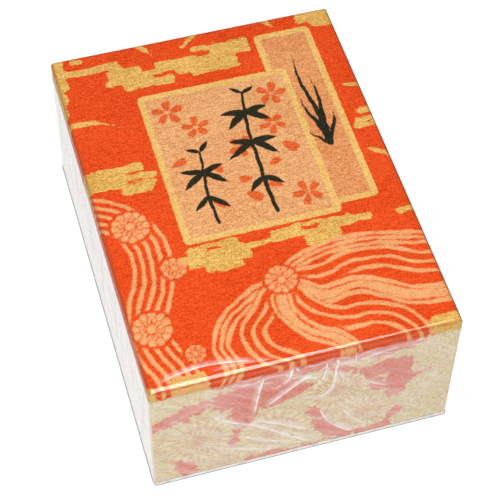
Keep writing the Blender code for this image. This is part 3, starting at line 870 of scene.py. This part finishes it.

# film folds on the front and on the top: points, ridge height, ridge width, how white the fold line is
# (partly the crease's own whitening, partly painted highlight)
filmHalfX, filmHalfY, filmTop = filmBox
frontFolds = [
    ([(-37, 40), (-30, 33), (-18, 24), (-5, 11), (4, 3)], 0.50, 1.5, 0.58),
    ([(-26, 21), (-16, 13), (-4, 6.5), (6, 2)], 0.40, 1.3, 0.50),
    ([(-34, 15), (-22, 9), (-10, 4)], 0.30, 1.2, 0.42),
    ([(-15.5, 36.5), (-8, 44), (0, 50), (5, 46)], 0.40, 0.9, 0.85),
    ([(-20, 32), (-18.5, 46), (-16.5, 58)], 0.30, 0.8, 0.75),
    ([(-9.5, 49), (-7, 53), (-5.5, 60)], 0.30, 0.75, 0.85),
    ([(-5.5, 60), (-4, 56.5), (-2, 54)], 0.20, 0.7, 0.75),
    ([(7, 60), (6.5, 50), (4, 44.5), (1, 43)], 0.30, 0.8, 0.65),
    ([(11, 60), (10.5, 48), (9.5, 40), (6.5, 35), (4, 36)], 0.30, 0.8, 0.75),
    ([(18, 60), (17.4, 50)], 0.20, 0.7, 0.60),
    ([(11, 51), (14, 44), (18, 40)], 0.20, 0.7, 0.40),
    ([(22, 38), (28, 33.5), (33, 30)], 0.20, 0.7, 0.55),
    ([(5, 27), (10, 14), (20, 2)], 0.30, 1.0, 0.50),
    ([(14, 22), (20, 12), (27, 4)], 0.25, 1.0, 0.28),
    ([(-32, 57), (-22, 55), (-12, 56.5), (-4, 53)], 0.25, 1.3, 0.32),
    ([(6, 55), (20, 53.6), (32, 56), (46, 54)], 0.25, 1.5, 0.30),
    ([(28, 58), (40, 57), (50, 58.4)], 0.20, 1.0, 0.28),
    ([(-30, 52), (-24, 54.6), (-17, 53.4), (-12, 51)], 0.15, 0.6, 0.42),
    ([(-28, 58.6), (-22, 57.4), (-15, 59)], 0.12, 0.5, 0.45),
    ([(-3, 58), (3, 56.6), (9, 58.4), (16, 56)], 0.15, 0.55, 0.45),
    ([(13, 53), (21, 57), (30, 58.6)], 0.12, 0.55, 0.38),
    ([(20, 50.6), (27, 52), (36, 51)], 0.12, 0.6, 0.34),
    ([(26, 55), (34, 53), (43, 56)], 0.12, 0.5, 0.34),
    ([(-14, 47), (-8, 50), (-3, 56)], 0.15, 0.55, 0.50),
    ([(2, 50), (6, 54), (7, 60)], 0.12, 0.5, 0.45),
    ([(-22, 30), (-10, 22), (2, 12)], 0.20, 1.2, 0.42),
    ([(-42, 24), (-34, 18), (-24, 12)], 0.15, 0.9, 0.20),
    ([(-56, 37), (-44, 45), (-34, 49)], 0.20, 1.0, 0.16),
    ([(-54, 56), (-48, 50), (-40, 47)], 0.20, 1.2, 0.14),
    ([(40, 12), (47, 22), (52, 36)], 0.20, 1.2, 0.14),
]
topFolds = [
    ([(-54, -77.8), (-46, -75.8), (-36, -75.0), (-26, -76.2), (-18, -78.2)], 0.06, 0.7, 0.75),
    ([(-35, -78.0), (-25, -77.6), (-12, -78.6)], 0.04, 0.6, 0.40),
    ([(-57, 70), (-54.6, 72.4), (-51, 72.8)], 0.08, 0.5, 0.22),
]
filmFolds = [(onSide("front", points, filmBox), *rest) for points, *rest in frontFolds]
filmFolds += [(np.array(points), *rest) for points, *rest in topFolds]
# folds of the other sides, from under the top edge downwards, leaning to either side
sideFolds = {"counts": (("left", filmHalfY, 16), ("right", filmHalfY, 16), ("back", filmHalfX, 11)),
             "margin": 6, "keep": 4, "lean": 7, "bow": 1.5, "high": (48, 62), "low": (7, 30),
             "rise": (0.15, 0.4), "width": (0.9, 2.2), "hazeAndSheen": (0.05, 0.2)}
random = np.random.default_rng(11)
for side, half, count in sideFolds["counts"]:
    for k in range(count):
        margin, keep = sideFolds["margin"], half - sideFolds["keep"]
        start = -half + margin + (2 * half - 2 * margin) * (k + random.uniform(0.1, 0.9)) / count
        lean = random.normal(0, sideFolds["lean"])
        high = random.uniform(*sideFolds["high"])
        low = random.uniform(*sideFolds["low"])
        bow = start + 0.4 * lean + random.normal(0, sideFolds["bow"])
        points = [(start, high), (bow, 0.6 * high + 0.4 * low), (start + lean, low)]
        points = [(np.clip(a, -keep, keep), b) for a, b in points]
        looks = [random.uniform(*sideFolds[name]) for name in ("rise", "width", "hazeAndSheen")]
        filmFolds.append((onSide(side, points, filmBox), *looks))


# reach of a fold's ridge and line, the stretch in which each runs out, the least ridge width, and how far the
# upright edges and the seam hold the film down
foldShape = {"ridge": (6, 5, 1.1), "line": (5, 4), "held": (3, 4), "seam": 2.0, "steps": 10}


# a fold's curve, and which of some points lie in its reach
def foldCurve(points, places, reach):
    curve = smoothCurve(points, foldShape["steps"])
    return curve, np.flatnonzero(((places > curve.min(0) - reach) & (places < curve.max(0) + reach)).all(1))


# height of the folds at points on the unfolded sheet: a bell curve across each fold that runs out at its ends
def foldHeight(sheet):
    reach, fade, least = foldShape["ridge"]
    height = np.zeros(len(sheet))
    for points, rise, wide, _ in filmFolds:
        curve, near = foldCurve(points, sheet, reach)
        if len(near):
            far, _, run, length = toChain(sheet[near], curve)
            ends = np.clip(np.minimum(run, length - run) / fade, 0, 1)
            height[near] += rise * ends * np.exp(-(far / max(wide, least)) ** 2)
    return height


# for each face, its corners' places across the nearest fold line, in fold widths, and how white the line is,
# a painted highlight along the fold
def foldLines(sheet, face):
    corners = sheet[face]
    middle = corners.mean(1)
    reach, fade = foldShape["line"]
    best = np.full(len(face), float(reach))
    across = np.full(face.shape, beyond)
    hazeAndSheen = np.zeros(face.shape)
    for points, _, wide, white in filmFolds:
        curve, near = foldCurve(points, middle, reach)
        if len(near):
            gap = toChain(middle[near], curve)[0] / wide
            near, gap = near[gap < best[near]], gap[gap < best[near]]
        if len(near):
            far, side, run, length = toChain(corners[near].reshape(-1, 2), curve)
            ends = np.clip(np.minimum(run, length - run) / fade, 0, 1)
            best[near] = gap
            across[near] = (far * side / wide).reshape(-1, 4)
            hazeAndSheen[near] = (white * ends).reshape(-1, 4)
    return across.ravel(), hazeAndSheen.ravel()


# unfolded place of points on the sharp box, front and back first at the upright edges
def unfold(points):
    fall = filmTop - points[:, 2]
    sheet = points[:, :2].copy()
    for axis, half in ((0, filmHalfX), (1, filmHalfY)):
        for way in (-1, 1):
            on = np.isclose(points[:, axis], way * half)
            sheet[on, axis] = way * (half + fall[on])
    return sheet


# how far the film stands out: its folds, held down by the upright edges and by the seam
def filmPush(sharp):
    upright = np.hypot(*(filmHigh[:2] - np.abs(sharp[:, :2])).T)
    start, depth = foldShape["held"]
    low = np.clip((sharp[:, 2] - filmLow[2]) / foldShape["seam"], 0, 1)
    return foldHeight(unfold(sharp)) * np.clip((upright - start) / depth, 0, 1) * low


# clear film: see-through, with a white diffuse share on its sides and folds that is partly the film's own
# haze and partly painted reflection of the white floor and painted highlight along the folds, and a gloss
# that grows at a slant
filmLook = {"index": 1.55, "rough": 0.05, "hazeAndSheen": ((0.95, 0.91, 0.86), (0.93, 0.92, 0.96)), "clear": 0.995,
            "patch": (70, 3, 0.55), "patchShare": (0.3, 0.7, 0.3, 0.7), "streak": (330, 4, 0.6),
            "slope": 38.0, "stretch": 0.16, "streakShare": (0.38, 0.64, 0.05, 1.25), "core": (0.15, 0.75),
            "tail": ((-0.3, 0.2), (0.2, 3.0, 0.5, 0.0)), "break": (260, 3, 0.6),
            "breakShare": (0.36, 0.60, 0.7, 1.4), "steady": (0.25, 0.6, 0.0, 0.8), "crinkle": 0.6,
            "relief": 0.3}
clearFilm = newFinish("clearFilm")
facing = clearFilm.give("ShaderNodeNewGeometry", out="Backfacing").leftOf(1.0)
x, y, z = clearFilm.split("ShaderNodeSeparateXYZ", clearFilm.place)
along = x + y
slope = math.radians(filmLook["slope"])
length = along * math.cos(slope) - z * math.sin(slope)
width = along * math.sin(slope) + z * math.cos(slope)
slanted = clearFilm.give("ShaderNodeCombineXYZ", {0: length * filmLook["stretch"], 1: width})
streaks = clearFilm.noise(*filmLook["streak"], place=slanted)
patchy = clearFilm.noise(*filmLook["patch"]).spread(*filmLook["patchShare"])
patchy = patchy + streaks.spread(*filmLook["streakShare"])
# painted highlight: white lines along the film's folds, partly the crease's own whitening
across = clearFilm.mark("across")
core = abs(across).spread(*filmLook["core"], 1.0, 0.0)
tailStart, tailEnd = filmLook["tail"]
tail = across.spread(*tailStart) * across.spread(*tailEnd)
broken = clearFilm.noise(*filmLook["break"]).spread(*filmLook["breakShare"])
line = core.calc("MAXIMUM", tail) * broken * clearFilm.mark("crease")
# painted reflection: the veil whitens the film as the floor's reflection would, on top of the film's own haze
veil = clearFilm.mark("veil")
steady = veil.spread(*filmLook["steady"])
patchy = clearFilm.give("ShaderNodeMix", {0: steady, 2: patchy, 3: 1.0})
hazeAndSheenShare = (veil * patchy).calc("ADD", line, clamp=True) * facing
clear = clearFilm.give("ShaderNodeBsdfTransparent", {"Color": (*[filmLook["clear"]] * 3, 1)})
hazeAndSheen = clearFilm.give("ShaderNodeBsdfDiffuse", {"Color": clearFilm.mix(steady, *filmLook["hazeAndSheen"])})
body = clearFilm.give("ShaderNodeMixShader", {0: hazeAndSheenShare, 1: clear, 2: hazeAndSheen})
relief = {"Height": streaks, "Strength": veil * filmLook["crinkle"], "Distance": filmLook["relief"] * mm}
crinkle = clearFilm.give("ShaderNodeBump", relief)
mirror = {"Color": (1, 1, 1, 1), "Roughness": filmLook["rough"], "Normal": crinkle}
gloss = clearFilm.give("ShaderNodeBsdfGlossy", mirror)
slant = clearFilm.give("ShaderNodeFresnel", {"IOR": filmLook["index"]}) * clearFilm.mark("shine") * facing
clearFilm.surface(clearFilm.give("ShaderNodeMixShader", {0: slant, 1: body, 2: gloss}))

# the film over the box: outer face as a grid with the folds pushed out, then the inner face as plain rings
# veil is a white haze for each side, partly the film's own and partly painted reflection of the floor,
# strongest on the left side seen at a slant
filmSkin = {"radius": 2.0, "bend": 7, "upright": 1.4, "sheet": 0.15, "columns": (130, 182), "rows": 58,
            "seam": 0.145, "crisp": math.radians(60), "cling": (4.75, 0.5),
            "veil": {"top": 0.0, "front": 0.20, "back": 0.25, "left": 0.64, "right": 0.30},
            "shine": {"top": 1.0, "front": 1.0, "back": 1.0, "left": 0.82, "right": 0.9},
            "edge": (1.4, 1.2, 0.92),
            "tight": {"start": -5, "share": 0.5, "length": 60, "fall": 3, "reach": 5}}
# where the front's film clings and stays clear: place along it, height, half length, half height, share
clearSpots = [(-8, 46, 15, 7, 0.6), (34, 41, 9, 9, 0.35), (6, 25, 5, 7, 0.4), (-25, 40, 7, 9, 0.3)]


# veil, shine and fold lines at the corners of one grid: the film is clear and dull along the top edges, white
# below them (partly haze, partly painted reflection of the floor, strongest on the slanting left side), and
# the front edge shines less and less to the right
def filmMarks(side, points, sheet, face):
    x, y, z = points.T
    fall = filmTop - z
    start, depth = filmSkin["cling"]
    loose = np.clip((fall - start) / depth, 0, 1)
    veil = filmSkin["veil"][side] * loose
    if side == "front":
        for place, height, long, high, share in clearSpots:
            veil *= 1 - share * np.exp(-((x - place) / long) ** 2 - ((z - height) / high) ** 2)
    start, depth, share = filmSkin["edge"]
    shine = filmSkin["shine"][side] * (1 - share * np.clip((fall - start) / depth, 0, 1) * (1 - loose))
    tight = filmSkin["tight"]
    if side in ("top", "front"):
        dim = np.clip(1 - tight["share"] * (x - tight["start"]) / tight["length"], tight["share"], 1)
        shine *= np.where((fall < tight["fall"]) & (y < tight["reach"] - filmHalfY), dim, 1.0)
    across, crease = foldLines(sheet, face)
    return {"veil": veil[face].ravel(), "shine": shine[face].ravel(), "across": across, "crease": crease}


filmRim = filmLow[2] - filmSkin["seam"]
rings = backRings(filmSkin, filmRim, filmTop)
filmCover = boxSkin("filmCover", filmBox, filmSkin, filmRim, rings, filmMarks, 0.0, filmPush)
filmCover.data.set_sharp_from_angle(angle=filmSkin["crisp"])
dress(filmCover, clearFilm, "film_cover", "film", "film_upper")
print("film cover ready,", len(filmCover.data.polygons), "faces")

# the film's foot: a shallow pan from the middle of its underside out, up its wall and back; its wall and hem
# carry the sides' white haze and painted reflection, its base the same white at one strength
filmPan = {"edge": 0.25, "bend": 5, "corner": 1.4, "sheet": 0.15, "columns": (104, 146),
           "rows": 6, "hem": 0.62, "flat": ((30, 2), (8, 2)), "wallStart": 1.0,
           "base": {"veil": 0.62, "shine": 1.0, "across": beyond, "crease": 0.0}}
footX, footY, footTop = boxOf("film_lower")[1] + [0, 0, filmSkin["seam"]]
edge, corner, sheet = filmPan["edge"], filmPan["corner"], filmPan["sheet"]
outside = [(footX - inset, footY - inset, radius, 0.0) for inset, radius in filmPan["flat"]]
for angle in np.linspace(0, math.pi / 2, filmPan["bend"]):
    inset = edge * (1 - math.sin(angle))
    outside.append((footX - inset, footY - inset, corner - inset, edge * (1 - math.cos(angle))))
outside += [(footX, footY, corner, z) for z in np.linspace(filmPan["wallStart"], footTop, filmPan["rows"])]
inside = [(x - sheet, y - sheet, max(r - sheet, leastRound), max(z, sheet) if z < footTop else z)
          for x, y, r, z in outside[::-1]]
levels = outside + inside
rings = [atHeight(ringPoints(x, y, r, *filmPan["columns"]), z) for x, y, r, z in levels]
filmFoot = putMesh("filmFoot", np.vstack(rings), shellFaces(len(rings), len(rings[0])))
# corners follow each other round every ring: front, right, back, left
sideCorners = 4 * np.array(filmPan["columns"] * 2)
corners = len(filmFoot.data.loops)
ringOf = np.arange(corners) // sideCorners.sum()
firstBend = len(filmPan["flat"])
onWall = (ringOf > firstBend) & (ringOf < len(outside) - 1)
onHem = (ringOf >= firstBend) & (ringOf < firstBend + filmPan["rows"])
onBase = ringOf >= len(levels) - 3
footMarks = {"across": np.where(onHem, 0.0, beyond), "crease": np.where(onHem, filmPan["hem"], 0.0)}
for name in ("veil", "shine"):
    tones = [filmSkin[name][side] for side in ("front", "right", "back", "left")]
    footMarks[name] = np.resize(np.repeat(tones, sideCorners), corners)
for name, value in footMarks.items():
    value = np.where(onWall | onHem, value, 0.0)
    putCorners(filmFoot, name, np.where(onBase, filmPan["base"][name], value))
filmFoot.data.set_sharp_from_angle(angle=filmSkin["crisp"])
dress(filmFoot, clearFilm, "film_base", "film", "film_lower")
print("film foot ready")


# plain sheets: two tones mixed by grain and fibres, and by the piece's own tone if it has one, with flecks;
# noises are a share of the sheet's scale, a detail and a roughness
sheetLook = {"grain": (1.0, 3, 0.6), "fibre": (1.3, 2, 0.5), "spots": (0.55, 1, 0.4), "mottle": (0.35, 0.65),
             "spotStretch": (0.5, 1.0, 0.7), "spotEdge": 0.05, "shares": (0.45, 0.55)}


def sheetFinish(name, deep, bright, fleck, scale=900, roughness=0.7, stretch=(0.2, 1.0, 1.0), flecks=0.72,
                depth=0.05, own=None):
    made = newFinish(name)
    stretches = (None, stretch, sheetLook["spotStretch"])
    grain, fibre, spots = (made.noise(scale * share, detail, rough, drawn) for (share, detail, rough), drawn
                           in zip((sheetLook["grain"], sheetLook["fibre"], sheetLook["spots"]), stretches))
    tone = (grain * 0.5 + fibre * 0.5).spread(*sheetLook["mottle"])
    if own:
        toneShare, ownShare = sheetLook["shares"]
        tone = tone * toneShare + made.mark(own) * ownShare
    spots = spots.spread(flecks, flecks + sheetLook["spotEdge"])
    made.paper(made.mix(spots, made.mix(tone, deep, bright), fleck), roughness, grain, depth)
    return made


redPaper = sheetFinish("trayPaper", (0.66, 0.050, 0.010), (0.88, 0.100, 0.022), (0.86, 0.50, 0.13), 800,
                       flecks=0.70)
creamPaper = sheetFinish("creamPaper", (0.74, 0.68, 0.54), (0.88, 0.83, 0.71), (0.66, 0.56, 0.40), 700,
                         flecks=0.71)
greyBoard = sheetFinish("greyBoard", (0.27, 0.255, 0.225), (0.46, 0.435, 0.39), (0.16, 0.14, 0.12), 520, 0.85,
                        (0.35, 1.0, 0.35), 0.68, 0.1)
paperTape = sheetFinish("paperTape", (0.62, 0.50, 0.34), (0.76, 0.64, 0.46), (0.50, 0.39, 0.25), 650, 0.6)
greenPaper = sheetFinish("cardPaper", (0.070, 0.120, 0.045), (0.170, 0.250, 0.105), (0.42, 0.38, 0.14),
                         roughness=0.55, flecks=0.70, own="tone")
mossPaper = sheetFinish("grabbingPaper", (0.060, 0.105, 0.075), (0.140, 0.215, 0.150), (0.40, 0.37, 0.15),
                        roughness=0.55, flecks=0.70, own="tone")


# a CAD part that keeps its own shape
def paintNode(name, finish):
    nodes[name].data.materials.clear()
    nodes[name].data.materials.append(finish.material)


plainParts = {"tray_wrap": redPaper, "lid_board": greyBoard, "tray_board": greyBoard, "divider": greyBoard,
              "lid_liner": creamPaper, "tray_liner": creamPaper}
for name, finish in plainParts.items():
    paintNode(name, finish)
for box in ("lid", "tray"):
    for end in ("front", "back"):
        for hand in ("left", "right"):
            paintNode(f"{box}_stay_{end}_{hand}", paperTape)

# stacks of cards: each card is four rings with eased edges, laid a little aslant and off centre
cardShape = {"ease": 0.22, "corner": 1.5, "shift": 0.14, "turn": 0.0014, "margin": 0.16, "gap": 0.02,
             "columns": (36, 50)}


# cards between given heights, shifted and turned by chance, and a tone by chance for each
def cardPile(name, low, high, levels, seed):
    random = np.random.default_rng(seed)
    middle = (low + high)[:2] / 2
    half = (high - low)[:2] / 2 - cardShape["margin"]
    ease, gap = cardShape["ease"], cardShape["gap"]
    rings, faces = [], []
    for bottom, top in levels:
        shift = random.uniform(-1, 1, 2) * cardShape["shift"]
        turn = random.uniform(-1, 1) * cardShape["turn"]
        bottom, top = bottom + gap, top - gap
        card = []
        for inset, z in ((ease, bottom), (0, bottom + ease), (0, top - ease), (ease, top)):
            ring = ringPoints(*(half - inset), cardShape["corner"] - inset, *cardShape["columns"])
            card.append(atHeight(seenFrom(ring, (0, 0), -turn) + middle + shift, z))
        faces += shellFaces(len(card), len(card[0]), len(rings) * len(card[0]))
        rings += card
    made = putMesh(name, np.vstack(rings), faces, False)
    tones = random.uniform(0, 1, len(levels))
    putCorners(made, "tone", np.repeat(tones, len(made.data.loops) // len(levels)))
    return made


# paper bands: a hoop round each stack, its outer and inner faces carried along the stack's length
bandShape = {"sheet": 0.2, "round": 0.5, "steps": 26, "columns": (40, 44)}
bandLook = {"grain": (900, 3, 0.6), "paper": ((0.78, 0.72, 0.58), (0.90, 0.86, 0.74)), "place": 7.2,
            "stripe": ((0.70, 0.055, 0.012), (0.86, 0.095, 0.02)), "edge": (0.75, 0.95), "ragged": 0.4}
bandPaper = newFinish("bandPaper")
grain = bandPaper.noise(*bandLook["grain"])
tone = grain.spread(0.35, 0.65)
stripe = abs(abs(bandPaper.mark("across")) - bandLook["place"]) + (grain - 0.5) * bandLook["ragged"]
stripe = stripe.spread(*bandLook["edge"], 1.0, 0.0)
plain, printed = (bandPaper.mix(tone, *bandLook[name]) for name in ("paper", "stripe"))
colour = bandPaper.mix(stripe, plain, printed)
bandPaper.paper(colour, 0.65, grain)


# a round-cornered ring seen from the end, carried along outside and back inside
def bandHoop(name, low, high):
    along = np.linspace(low[1], high[1], bandShape["steps"] + 1)
    middle, half = (low + high) / 2, (high - low) / 2
    loops = []
    for inset, places in ((0, along), (bandShape["sheet"], along[::-1])):
        ring = ringPoints(half[0] - inset, half[2] - inset, bandShape["round"] - inset, *bandShape["columns"])
        x, z = (ring + [middle[0], middle[2]]).T
        loops += [np.c_[x, np.full(len(x), y), z] for y in places]
    points = np.vstack(loops)
    ids = np.arange(len(points)).reshape(len(loops), -1)
    quads = ringQuads([*ids, ids[0]])
    made = putMesh(name, points, quads.tolist())
    putCorners(made, "across", (points[:, 1] - middle[1])[quads].ravel())
    return made


packets, packetCards = 7, 7
for kind, slot, paper in (("reading", "card_reading", greenPaper), ("grabbing", "card_grabbing", mossPaper)):
    for hand in ("left", "right"):
        base, title, body = f"{kind}_{hand}", f"{kind}{hand.title()}", f"{kind}_{hand}_stack"
        packetNames = [f"{base}_packet_{k}" for k in range(1, packets + 1)]
        levels = []
        for name in packetNames:
            low, high = boxOf(name)
            edges = np.linspace(low[2], high[2], packetCards + 1)
            levels += list(zip(edges[:-1], edges[1:]))
        pile = cardPile(f"{title}Cards", low, high, levels, len(base) * 7)
        dress(pile, paper, body, slot, *packetNames)
        low, high = boxOf(f"{base}_top_card")
        card = cardPile(f"{title}TopCard", low, high, [(low[2], high[2])], 3)
        dress(card, paper, body, slot, f"{base}_top_card")
        dress(bandHoop(f"{title}Band", *boxOf(f"{base}_band")), bandPaper, body, "band", f"{base}_band")
print("card stacks ready")

# booklet cover: the outline of a folded sheet seen from the end, carried along; rows of waves on both leaves
bookLow, bookHigh = boxOf("booklet_cover")
bookShape = {"sheet": 0.25, "bend": 11, "leaf": 112, "inner": 5, "rows": 160, "wave": 13.0, "line": 0.46,
             "rings": (0.965, 0.75, 0.53, 0.31), "title": (-8.5, 8.5, 18.0, 58.0), "corner": 0.8}


# waves: the lowest row of circles that holds the point shows, with rings inside it
def toWaves(p, size, line, reach=6):
    ring = np.full(len(p), -1.0)
    for k in range(reach):
        row = np.floor((p[:, 1] - size) / (size / 2)) + 1 + k
        off = p[:, 0] - np.where(row % 2 == 0, 0.0, size)
        off = off - 2 * size * np.round(off / (2 * size))
        far = np.hypot(off, p[:, 1] - row * size / 2)
        ring = np.where((ring < 0) & (far < size), far, ring)
    ring = np.where(ring < 0, size, ring)
    return np.min([np.abs(ring - share * size) for share in bookShape["rings"]], axis=0) - line


# one face of the folded sheet: along a leaf, round the back by half a circle, and along the other leaf
def bookFace(steps, radius, way):
    middle = (bookLow[2] + bookHigh[2]) / 2
    fold = (bookHigh[2] - bookLow[2]) / 2 + bookLow[0]
    leaf = np.linspace(bookHigh[0], fold, steps)
    bend = np.linspace(-math.pi / 2, math.pi / 2, bookShape["bend"])[1:-1]
    back = np.c_[fold - radius * np.cos(bend), middle + way * radius * np.sin(bend)]
    first, last = atHeight(leaf, middle - way * radius), atHeight(leaf[::-1], middle + way * radius)
    return np.vstack([first, back, last])


# outer face, then inner face, joined at the leaves' edges and carried along the booklet
def bookCover():
    radius = (bookHigh[2] - bookLow[2]) / 2
    outer = bookFace(bookShape["leaf"], radius, 1)
    inner = bookFace(bookShape["inner"], radius - bookShape["sheet"], -1)
    x, z = np.vstack([outer, inner])[::-1].T
    along = np.linspace(bookLow[1], bookHigh[1], bookShape["rows"])
    points = np.vstack([np.c_[x, np.full(len(x), y), z] for y in along])
    ids = np.arange(len(points)).reshape(len(along), -1)
    quads = ringQuads(ids)[:, ::-1]
    made = putMesh("bookletCover", points, quads.tolist() + [ids[0].tolist(), ids[-1][::-1].tolist()], False)
    flat = points[:, :2]
    marks = {"wave": toWaves(flat, bookShape["wave"], bookShape["line"]),
             "title": toPanel(flat, *bookShape["title"], bookShape["corner"])}
    for name, value in marks.items():
        value = np.clip(value, -beyond, beyond)[quads].ravel()
        putCorners(made, name, np.r_[value, np.full(2 * len(x), beyond)])
    return made


coverLook = {"grain": (1000, 3, 0.6), "ragged": 0.3, "soft": 0.14, "frame": 1.4, "frameEdge": (0.25, 0.45),
             "ground": ((0.045, 0.095, 0.060), (0.085, 0.150, 0.095)),
             "wave": ((0.52, 0.40, 0.12), (0.70, 0.55, 0.20)),
             "title": ((0.78, 0.71, 0.55), (0.90, 0.85, 0.70)),
             "line": ((0.60, 0.05, 0.012), (0.80, 0.09, 0.02))}
coverPaper = newFinish("coverPaper")
grain = coverPaper.noise(*coverLook["grain"])
tone = grain.spread(0.35, 0.65)
ragged = (grain - 0.5) * coverLook["ragged"]
soft = coverLook["soft"]
colour = coverPaper.mix(tone, *coverLook["ground"])
wave = (coverPaper.mark("wave") + ragged).spread(-soft, soft, 1.0, 0.0)
colour = coverPaper.mix(wave, colour, coverPaper.mix(tone, *coverLook["wave"]))
title = coverPaper.mark("title") + ragged
label = title.spread(-soft, soft, 1.0, 0.0)
colour = coverPaper.mix(label, colour, coverPaper.mix(tone, *coverLook["title"]))
border = abs(title + coverLook["frame"]).spread(*coverLook["frameEdge"], 1.0, 0.0)
colour = coverPaper.mix(border, colour, coverPaper.mix(tone, *coverLook["line"]))
coverPaper.paper(colour, 0.5, grain, 0.04)
dress(bookCover(), coverPaper, "booklet", "cover", "booklet_cover")

# booklet pages: thin darker lines between the sheets, seen on the cut edges
pageLook = {"sheets": 0.11, "grain": (600, 3, 0.6, (1.0, 1.0, 6.0)),
            "paper": ((0.62, 0.55, 0.42), (0.90, 0.86, 0.76))}
pagePaper = newFinish("pagePaper")
height = pagePaper.split("ShaderNodeSeparateXYZ", pagePaper.place)[2]
cuts = (height * (2 * math.pi / (pageLook["sheets"] * mm))).calc("SINE")
grain = pagePaper.noise(*pageLook["grain"])
tone = (cuts.spread(-1.0, -0.3) * 0.6).calc("ADD", grain * 0.6, clamp=True)
pagePaper.paper(pagePaper.mix(tone, *pageLook["paper"]), 0.8, grain)
paintNode("booklet_pages", pagePaper)

# staple wire: bright metal with fine drawing marks
wireLook = {"marks": (4000, 2, 0.5, (1.0, 0.1, 1.0)), "metal": ((0.48, 0.48, 0.50), (0.74, 0.74, 0.75)),
            "rough": (0.22, 0.38)}
stapleWire = newFinish("stapleWire")
marks = stapleWire.noise(*wireLook["marks"])
metal = {"Base Color": stapleWire.mix(marks.spread(0.3, 0.7), *wireLook["metal"]), "Metallic": 1.0,
         "Roughness": marks.spread(0.3, 0.7, *wireLook["rough"])}
stapleWire.surface(stapleWire.give("ShaderNodeBsdfPrincipled", metal))
for end in ("front", "back"):
    paintNode(f"booklet_staple_{end}", stapleWire)
print("booklet ready")

# floor: white, takes the shadow, and lifted a little for the camera and for reflections; the lift fades by
# ambient occlusion right next to the box, a painted contact shadow
stageLook = {"floor": (0.29, 0.31), "grain": (30, 2, 0.5), "half": 3000, "below": -0.05, "lift": 0.9,
             "near": 0.0006, "open": (0.6, 0.88), "ambient": 0.5, "overhead": 0.06, "horizon": 0.25,
             "rise": (0.25, 0.7)}
floorPaint = newFinish("floorPaint")
pale = floorPaint.mix(floorPaint.noise(*stageLook["grain"]), *[(tone,) * 3 for tone in stageLook["floor"]])
white = floorPaint.give("ShaderNodeBsdfDiffuse", {"Color": pale})
seen, glossy, through = floorPaint.rays()
seen = seen.calc("MAXIMUM", glossy.calc("MAXIMUM", through))
# painted shadow: ambient occlusion darkens the floor's lift in a thin line where the box stands
openness = floorPaint.give("ShaderNodeAmbientOcclusion", {"Distance": stageLook["near"]}, "AO", samples=8)
strength = seen * stageLook["lift"] * openness.spread(*stageLook["open"])
glow = floorPaint.give("ShaderNodeEmission", {"Color": (1, 1, 1, 1), "Strength": strength})
floorPaint.surface(floorPaint.give("ShaderNodeAddShader", {0: white, 1: glow}))
half, below = stageLook["half"], stageLook["below"]
corners = [(-half, -half, below), (half, -half, below), (half, half, below), (-half, half, below)]
floor = putMesh("floor", corners, [(0, 1, 2, 3)], False)
floor.data.materials.append(floorPaint.material)

# surroundings: white for the camera, dim and even for surfaces, bright low and dark overhead in reflections
world = bpy.data.worlds.new("surroundings")
bpy.context.scene.world = world
sky = Finish(world, "Generated")
height = sky.split("ShaderNodeSeparateXYZ", sky.place)[2]
mirror = height.spread(*stageLook["rise"], stageLook["horizon"], stageLook["overhead"])
seen, glossy, through = sky.rays()
strength = glossy * (mirror - stageLook["ambient"]) + stageLook["ambient"]
strength = strength + seen.calc("MAXIMUM", through) * (1.0 - stageLook["ambient"])
light = sky.give("ShaderNodeBackground", {"Color": (1, 1, 1, 1), "Strength": strength})
sky.surface(light, "ShaderNodeOutputWorld")


# area lamp that looks at a point on the object; lit surfaces and mirrored light can be kept apart
def addLamp(name, shape, place, size, power, lights=True, mirrored=True, tint=(1, 1, 1), toward=(0, 0, 0.03)):
    light = bpy.data.lights.new(name, "AREA")
    light.shape = shape
    light.size, light.size_y = size
    light.energy = power
    light.color = tint
    lamp = bpy.data.objects.new(name, light)
    back = (Vector(place) - Vector(toward)).normalized()
    across = Vector((0, 1, 0)).cross(back).normalized()
    turn = Matrix((across, back.cross(across), back)).transposed()
    lamp.matrix_world = Matrix.Translation(place) @ turn.to_4x4()
    lamp.visible_diffuse = lights
    lamp.visible_glossy = mirrored
    bpy.context.scene.collection.objects.link(lamp)


addLamp("overheadBox", "RECTANGLE", (-0.15, -0.25, 0.95), (0.6, 0.4), 3.5, mirrored=False)
addLamp("overheadGlow", "ELLIPSE", (-0.02, -0.08, 1.10), (0.78, 0.96), 21.0, lights=False,
        tint=(1.0, 0.96, 0.86))
addLamp("frontFill", "RECTANGLE", (-0.40, -0.85, 0.70), (0.8, 0.5), 6.9)

# camera: stands in front, a little to the left and above, turned slightly about its own line of sight
view = {"place": (-0.1139, -0.3786, 0.5578), "toward": (0.1744, 0.5676, -0.8047), "roll": -1.13,
        "lens": 119.5, "sensor": 36.0, "clip": (0.01, 50.0)}
forward = Vector(view["toward"]).normalized()
right = forward.cross(Vector((0, 0, 1))).normalized()
upward = right.cross(forward)
turn = Matrix.Rotation(math.radians(view["roll"]), 3, forward)
axes = turn @ Matrix((right, upward, -forward)).transposed()
data = bpy.data.cameras.new("camera")
data.lens = view["lens"]
data.sensor_width = view["sensor"]
data.clip_start, data.clip_end = view["clip"]
camera = bpy.data.objects.new("camera", data)
camera.matrix_world = Matrix.Translation(view["place"]) @ axes.to_4x4()
bpy.context.scene.collection.objects.link(camera)
bpy.context.scene.camera = camera
bpy.context.scene.view_settings.view_transform = "Standard"

bpy.context.view_layer.update()
print("stage ready")
